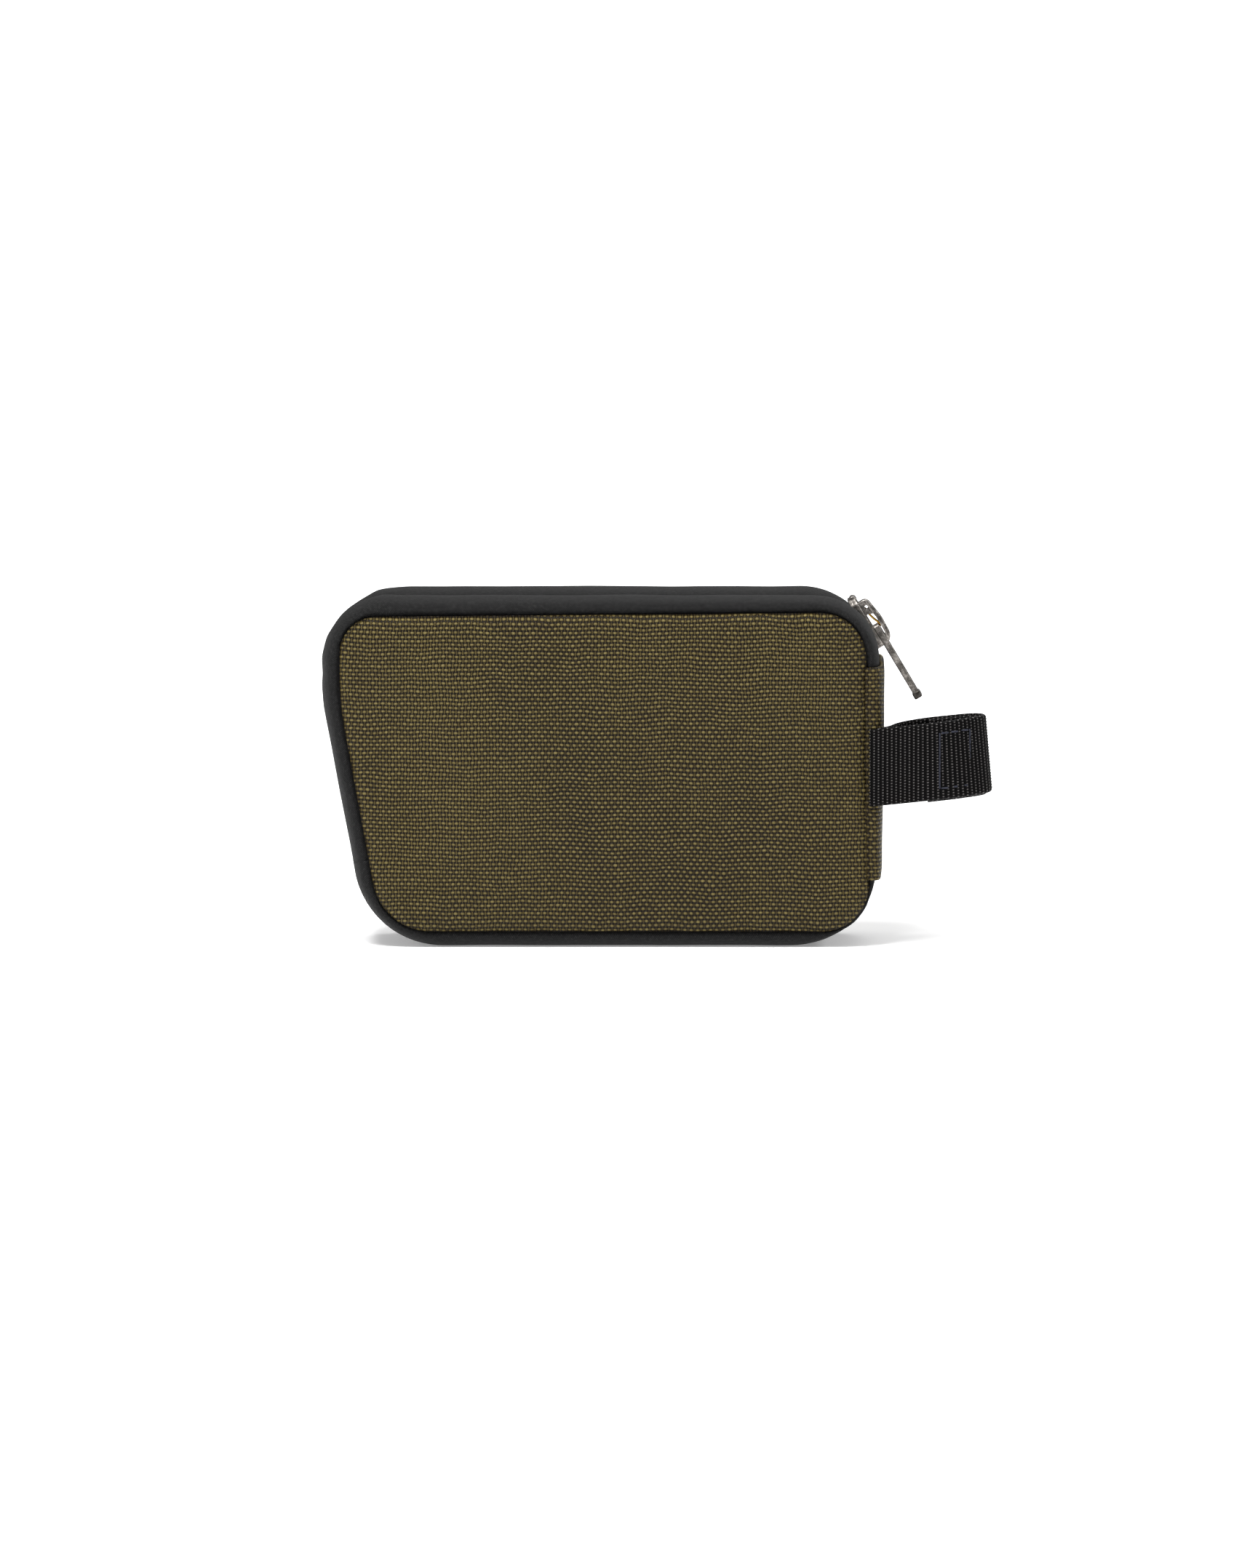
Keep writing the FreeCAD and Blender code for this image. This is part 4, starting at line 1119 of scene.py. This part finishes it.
def add_grab_loop():
    """The strap from root to root, and a second layer inside its outer bend."""
    line, normals, along = loop_path(0.16)
    strap = webbing("webbing_strap", line, normals, along, 0.0, loop_low.z, loop_high.z)
    settle(strap, "webbing", "grab_loop", "hand_loop")
    beyond = line[:, 0] > sleeve_low.x
    bend = line[beyond], normals[beyond], along[beyond]
    inner = webbing("webbing_sleeve", *bend, -WEB_THICK - GAP, sleeve_low.z, sleeve_high.z)
    settle(inner, "webbing", "loop_sleeve", "hand_loop")


def stitch_path(place, ahead, normal):
    """One stitch: it rises out of the cloth, lies on it and dives back."""
    shape = ((-0.5, -0.35), (-0.42, 0.5), (-0.2, 1.0), (0.2, 1.0), (0.42, 0.5), (0.5, -0.35))
    return [place + ahead * STITCH_LENGTH * a + normal * STITCH_LIFT * b for a, b in shape]


def add_loop_stitching():
    """A rectangle of stitches through both layers, on the near side of the loop."""
    line, normals, _ = loop_path(0.5)
    near = line[:, 1] < -18

    def surface(x, z):
        index = np.argmin(np.where(near, np.abs(line[:, 0] - x), 1e9))
        away = line[index] + normals[index] * (WEB_THICK + 0.1)
        normal = np.array([normals[index][0], normals[index][1], 0.0])
        return np.array([away[0], away[1], z + WEB_RISE * (away[0] - loop_low.x)]), normal

    left, right = stitch_low.x + 0.5, stitch_high.x - 0.5
    low, high = loop_low.z + STITCH_INSET, loop_high.z - STITCH_INSET
    corners = [(left, low), (left, high), (right, high), (right, low), (left, low)]
    paths = []
    for (x0, z0), (x1, z1) in zip(corners[:-1], corners[1:]):
        count = round(math.hypot(x1 - x0, z1 - z0) / STITCH_PITCH)
        for k in range(count):
            share = (k + 0.5) / count
            point, normal = surface(x0 + (x1 - x0) * share, z0 + (z1 - z0) * share)
            ahead = unit(np.array([x1 - x0, 0.0, z1 - z0 + WEB_RISE * (x1 - x0)]))
            ahead += np.array([0, 0, 0.12]) * ripple(point, 1.0)
            paths.append(stitch_path(point, ahead, normal))
    stitches = thread_object("box_stitches", paths, 0.3, 8)
    settle(stitches, "thread", "loop_stitching", "hand_loop")


add_grab_loop()
add_loop_stitching()

# ---------------------------------------------------------------- end panel

END_LIFT = 0.6
END_FOLD = 0.6
END_HEM = 7.0


def folded_edge(edge, inward):
    """Places and lifts from the hem underneath, round the fold, to the outer layer. inward is 1 or -1."""
    turns = np.linspace(0, math.pi, 7)
    under = np.arange(END_HEM, 0, -1.0)
    places = edge + inward * np.concatenate([under, END_FOLD * (1 - np.sin(turns))])
    lifts = END_LIFT + np.concatenate([0 * under, END_FOLD * (1 - np.cos(turns))])
    return places, lifts


def add_end_panel():
    """A patch of wall cloth over the end of the pouch, its top and bottom edges folded under."""
    start, end = sorted(seam.place(1, height) for height in (end_low.z, end_high.z))
    first_places, first_lifts = folded_edge(start, 1)
    last_places, last_lifts = folded_edge(end, -1)
    middle = np.linspace(start + END_FOLD, end - END_FOLD, 80)[1:-1]
    places = np.concatenate([first_places, middle, last_places[::-1]])
    lifts = np.concatenate([first_lifts, np.full(len(middle), END_LIFT + 2 * END_FOLD), last_lifts[::-1]])
    stations = closed_stations()[1:-1]
    sheet = gusset_grid(places, stations)
    ahead = gusset_grid(places + 0.5, stations) - gusset_grid(places - 0.5, stations)
    normals = unit(np.cross(ahead, np.gradient(sheet, axis=1)))
    normals *= np.sign(normals[..., 0].mean())
    waves = np.array([[0.18 * ripple(point, 14, 8.0) for point in row] for row in sheet])
    sheet += normals * (lifts[:, None] + waves)[..., None]
    steps = np.linalg.norm(np.diff(sheet, axis=1), axis=2)
    from_front = np.hstack([np.zeros((len(sheet), 1)), np.cumsum(steps, axis=1)])
    from_seam = np.minimum(from_front, from_front[:, -1:] - from_front)
    cloth = grid_object("end_panel_cloth", sheet, turned=True)
    # painted shade along both edges of the end panel, where it dives into the seams
    paint_seam_shade(cloth, from_seam.ravel(), fade=2.3)
    thicken(cloth, 0.6)
    settle(cloth, "olive_cloth", "end_panel")


add_end_panel()

# ---------------------------------------------------------------- inside


def add_wall_lining(side, place):
    """The lining sheet behind one wall, a little slack."""
    plan, faces = wall_plan(inset=2.5, step=3.0)
    inset = seam.inset(plan)
    slack = 0.105 * ripples(plan, 0, 22, 6.0 + side) * ease(3.0, 12.0, inset)
    vertices = at_depth(plan, side * (HALF_DEPTH + 0.2 + slack))
    sheet = new_object(place + "_lining_cloth", vertices, faces, [tuple(p) for p in plan])
    thicken(sheet, 0.35)
    settle(sheet, "lining_cloth", place + "_lining", place + "_half")


def lining_stations():
    """Just inside the closed gusset, from behind the front binding to behind the back one."""
    rise = [(23.5, -2.6, 0.0), (22.6, 0.6, 0.3), (20.8, 2.4, 0.7)]
    return both_sides(rise + [(18.0, CROWN - 1.8, 1.0), (8.0, CROWN - 1.7, 1.0)])


def add_gusset_lining():
    """The lining of the full-depth gusset."""
    places = np.linspace(right_end + 0.6, left_end - 0.6 + seam.length, 200)
    grid = pucker(gusset_grid(places, lining_stations()), strength=0.6, seed=21.0)
    add_sheet("gusset_lining_cloth", grid, 0.35, "lining_cloth", "gusset_lining")


def add_seam_binding(side, place):
    """Tape folded over the raw edges inside a seam."""
    section = []
    for k in range(14):
        angle = 2 * math.pi * k / 14
        square_y = math.copysign(abs(math.cos(angle)) ** 0.5, math.cos(angle))
        square_g = math.copysign(abs(math.sin(angle)) ** 0.5, math.sin(angle))
        section.append((side * (HALF_DEPTH - 1.35 + 1.25 * square_y), -2.1 + 0.8 * square_g))
    places = np.linspace(0, seam.length, 420, endpoint=False)
    points, normals = seam.at(places)
    rings = []
    for y, grow in section:
        wavy = 0.10 * ripples(points, y, 6, 2.0)
        rings.append(at_depth(points + normals * (grow + wavy)[:, None], y))
    grid = np.swapaxes(np.array(rings), 0, 1)
    around = 0.55 * np.arange(len(section))
    binding = tube_object(place + "_binding_tape", grid, places, around, closed=True)
    settle(binding, "binding_tape", place + "_seam_binding", place + "_half")


LOOP_COUNT = 5
LOOP_PITCH = 26.0
LOOP_SPAN = 20.0
STRIP_START = -68.0
TACK_STEP = 0.45
TACK_SWAY = 0.7
strip_low, strip_high = span("cable_loops")
# y of the elastic where it lies flat on its strip, and how far an arch stands off it
ELASTIC_FLAT = strip_high.y - 1.1
ARCH_RISE = strip_high.y - strip_low.y - 1.2


def add_cable_loops():
    """Elastic that lies flat at intervals and stands out in arches between."""
    line = [(strip_low.x, ELASTIC_FLAT)]
    for k in range(LOOP_COUNT):
        start = STRIP_START + LOOP_PITCH * (k + 1) - LOOP_SPAN
        for step in range(25):
            share = step / 24
            hump = math.sin(math.pi * share) ** 0.55
            line.append((start + LOOP_SPAN * share, ELASTIC_FLAT - ARCH_RISE * hump))
    line.append((strip_high.x, ELASTIC_FLAT))
    line = resample(np.array(line), 420, closed=False)
    heights = np.linspace(strip_low.z, strip_high.z, 26)
    grid = np.array([[(x, y + 0.12 * ripple((x, 0, z), 7), z) for z in heights] for x, y in line])
    add_sheet("elastic_arches", grid, 0.7, "elastic", "cable_loops", BACK)


def add_loop_strip():
    """The flat strip under the arches."""
    across = np.linspace(strip_low.x, strip_high.x, 60)
    heights = np.linspace(strip_low.z, strip_high.z, 26)
    grid = np.array([[(x, ELASTIC_FLAT + 0.7, z) for z in heights] for x in across])
    add_sheet("elastic_base", grid, 0.5, "elastic", "cable_loops", BACK)


def add_loop_tacks():
    """A zigzag of thread up each place where the elastic lies flat."""
    tacks = []
    for k in range(LOOP_COUNT + 1):
        x = STRIP_START + (LOOP_PITCH - LOOP_SPAN) / 2 + LOOP_PITCH * k
        steps = np.arange(strip_low.z + 0.8, strip_high.z - 0.8, TACK_STEP)
        sways = [TACK_SWAY if n % 2 else -TACK_SWAY for n in range(len(steps))]
        tacks.append([(x + sway, ELASTIC_FLAT - 0.55, z) for sway, z in zip(sways, steps)])
    settle(thread_object("zigzag_tacks", tacks, 0.22, 5), "thread", "loop_tacks", BACK)


def add_mesh_pocket():
    """A net pocket on the front lining: thin threads crossing in diamonds."""
    low, high = span("mesh_pocket")
    wide, tall = 2.4, 3.0
    columns = int((high.x - low.x) / wide) + 1
    rows = int((high.z - low.z) / tall * 2) + 2
    ring = outline(-3.6)
    vertices, faces, index = [], [], {}

    def corner(i, j):
        if (i, j) not in index:
            x, z = low.x + i * wide / 2, low.z + j * tall / 2
            bulge = 1.0 * ease(0, 14, z - low.z) * ease(0, 14, x - low.x) * ease(0, 14, high.x - x)
            index[(i, j)] = len(vertices)
            vertices.append((x, high.y - 0.4 + bulge + 0.3 * ripple((x, 0, z), 15), z))
        return index[(i, j)]

    cells = [(i, j) for j in range(rows) for i in range(2 * columns) if (i + j) % 2]
    centres = np.array([(low.x + i * wide / 2, low.z + j * tall / 2) for i, j in cells])
    for (i, j), fits in zip(cells, inside_outline(centres, ring)):
        if fits and low.z + j * tall / 2 < high.z - 0.4:
            faces.append((corner(i - 1, j), corner(i, j - 1), corner(i + 1, j), corner(i, j + 1)))
    net = new_object("net_threads", vertices, faces)
    wires = net.modifiers.new("Threads", "WIREFRAME")
    wires.thickness = 0.42 * MM
    bake(net)
    settle(net, "mesh", "mesh_pocket", FRONT)


def add_pocket_edge():
    """The elastic along the mesh pocket's mouth, gathered in small waves and standing off the lining."""
    low, high = span("pocket_edge")

    def point(x, z):
        gathered = 0.9 + 0.35 * ripple((x, 0, z * 0.3), 5)
        from_end = min(x - low.x, high.x - x)
        return x, high.y - 0.1 + gathered * ease(0, 12, from_end), z

    xs = np.linspace(low.x, high.x, 260)
    zs = np.linspace(low.z, high.z, 12)
    grid = np.array([[point(x, z) for z in zs] for x in xs])
    add_sheet("pocket_elastic", grid, 0.8, "elastic", "pocket_edge", FRONT)


for side, place in HALVES:
    add_wall_lining(side, place)
    add_seam_binding(side, place)
add_gusset_lining()
add_cable_loops()
add_loop_strip()
add_loop_tacks()
add_mesh_pocket()
add_pocket_edge()

# the foam sheets keep their CAD shape
for _, place in HALVES:
    foam = frame["nodes"][place + "_foam"]
    foam.data.materials.clear()
    foam.data.materials.append(MATERIALS["foam"])

# ---------------------------------------------------------------- camera, light and floor

VIEW_HEIGHT_ANGLE = math.radians(5.5)
VIEW_TARGET = Vector((7.6, 0, 50.4)) * MM
PICTURE_HEIGHT = 505.8 * MM
CAMERA_DISTANCE = 8.0
FLOOR_REACH = 14000.0
FLOOR_HEIGHT = -0.05
# the floor gives off light, and the camera sees less of it near the pouch and more far away
FLOOR_GLOW = 0.50
NEAR_LOSS = 0.27
FAR_GAIN = 0.8
FAR_START = 225.0
FAR_SCALE = 1500.0


def aim(obj, ahead):
    obj.rotation_mode = "QUATERNION"
    obj.rotation_quaternion = ahead.to_track_quat("-Z", "Y")


def add_camera():
    """A long lens, slightly above the pouch, aimed a little right of the walls' middle and low."""
    data = bpy.data.cameras.new("camera")
    data.sensor_width = 36
    data.lens = data.sensor_width * CAMERA_DISTANCE / PICTURE_HEIGHT
    data.clip_start, data.clip_end = 0.5, 40
    camera = linked("camera", data)
    back = Vector((0, -math.cos(VIEW_HEIGHT_ANGLE), math.sin(VIEW_HEIGHT_ANGLE)))
    camera.location = VIEW_TARGET + back * CAMERA_DISTANCE
    aim(camera, -back)
    bpy.context.scene.camera = camera


def add_light(name, place, size, power):
    """A square lamp aimed at the pouch, which the camera doesn't see."""
    data = bpy.data.lights.new(name, "AREA")
    data.shape = "SQUARE"
    data.size = size
    data.energy = power
    light = linked(name, data)
    light.location = place
    aim(light, Vector((0, 0, 0.05)) - Vector(place))
    light.visible_camera = False


def add_floor():
    """A wide white floor. The camera sees it brighten with distance, so that it meets the sky unseen."""
    ends = (-FLOOR_REACH, FLOOR_REACH)
    floor = grid_object("studio_floor", np.array([[(x, y, FLOOR_HEIGHT) for y in ends] for x in ends]))
    paper = Cloth("studio_paper", roughness=0.9)
    grain = paper.noise(paper.space(), 2.0)
    paper.finish(paper.ramp(grain, [(0.0, (0.82, 0.82, 0.82)), (1.0, (0.84, 0.84, 0.84))]))
    seen = Wire(paper.tree, paper.tree.nodes.new("ShaderNodeLightPath").outputs["Is Camera Ray"])
    middle = paper.tree.nodes.new("ShaderNodeVectorMath")
    middle.operation = "LENGTH"
    paper.tree.links.new(paper.space(), middle.inputs[0])
    far = (Wire(paper.tree, middle.outputs["Value"]) * (1 / FAR_SCALE) - FAR_START / FAR_SCALE).largest(0.0)
    glow = seen * (far * FAR_GAIN - NEAR_LOSS) + FLOOR_GLOW
    paper.surface.inputs["Emission Color"].default_value = (1, 1, 1, 1)
    paper.tree.links.new(glow.socket, paper.surface.inputs["Emission Strength"])
    floor.data.materials.append(paper.material)


def add_sky():
    """Soft light that grows towards the zenith, seen by the camera as plain white."""
    world = bpy.data.worlds.new("studio_world")
    world.use_nodes = True
    tree = world.node_tree
    height = tree.nodes.new("ShaderNodeSeparateXYZ")
    tree.links.new(tree.nodes.new("ShaderNodeTexCoord").outputs["Generated"], height.inputs[0])
    seen = Wire(tree, tree.nodes.new("ShaderNodeLightPath").outputs["Is Camera Ray"])
    sky = (Wire(tree, height.outputs["Z"]) * 0.45 + 0.2).largest(0.2)
    tree.links.new(sky.largest(seen).socket, tree.nodes["Background"].inputs["Strength"])
    tree.nodes["Background"].inputs["Color"].default_value = (1, 1, 1, 1)
    bpy.context.scene.world = world


def add_lights():
    """A large key above and in front, and weaker lamps to the left, to the right and behind."""
    add_light("key_light", (-0.3, -0.66, 1.6), 0.6, 44)
    add_light("left_light", (-1.4, -0.9, 0.5), 0.9, 12)
    add_light("right_light", (1.3, -0.3, 0.9), 0.4, 7)
    add_light("back_light", (0.4, 1.2, 1.2), 0.6, 8)
    bpy.context.scene.view_settings.view_transform = "Standard"


add_camera()
add_floor()
add_sky()
add_lights()
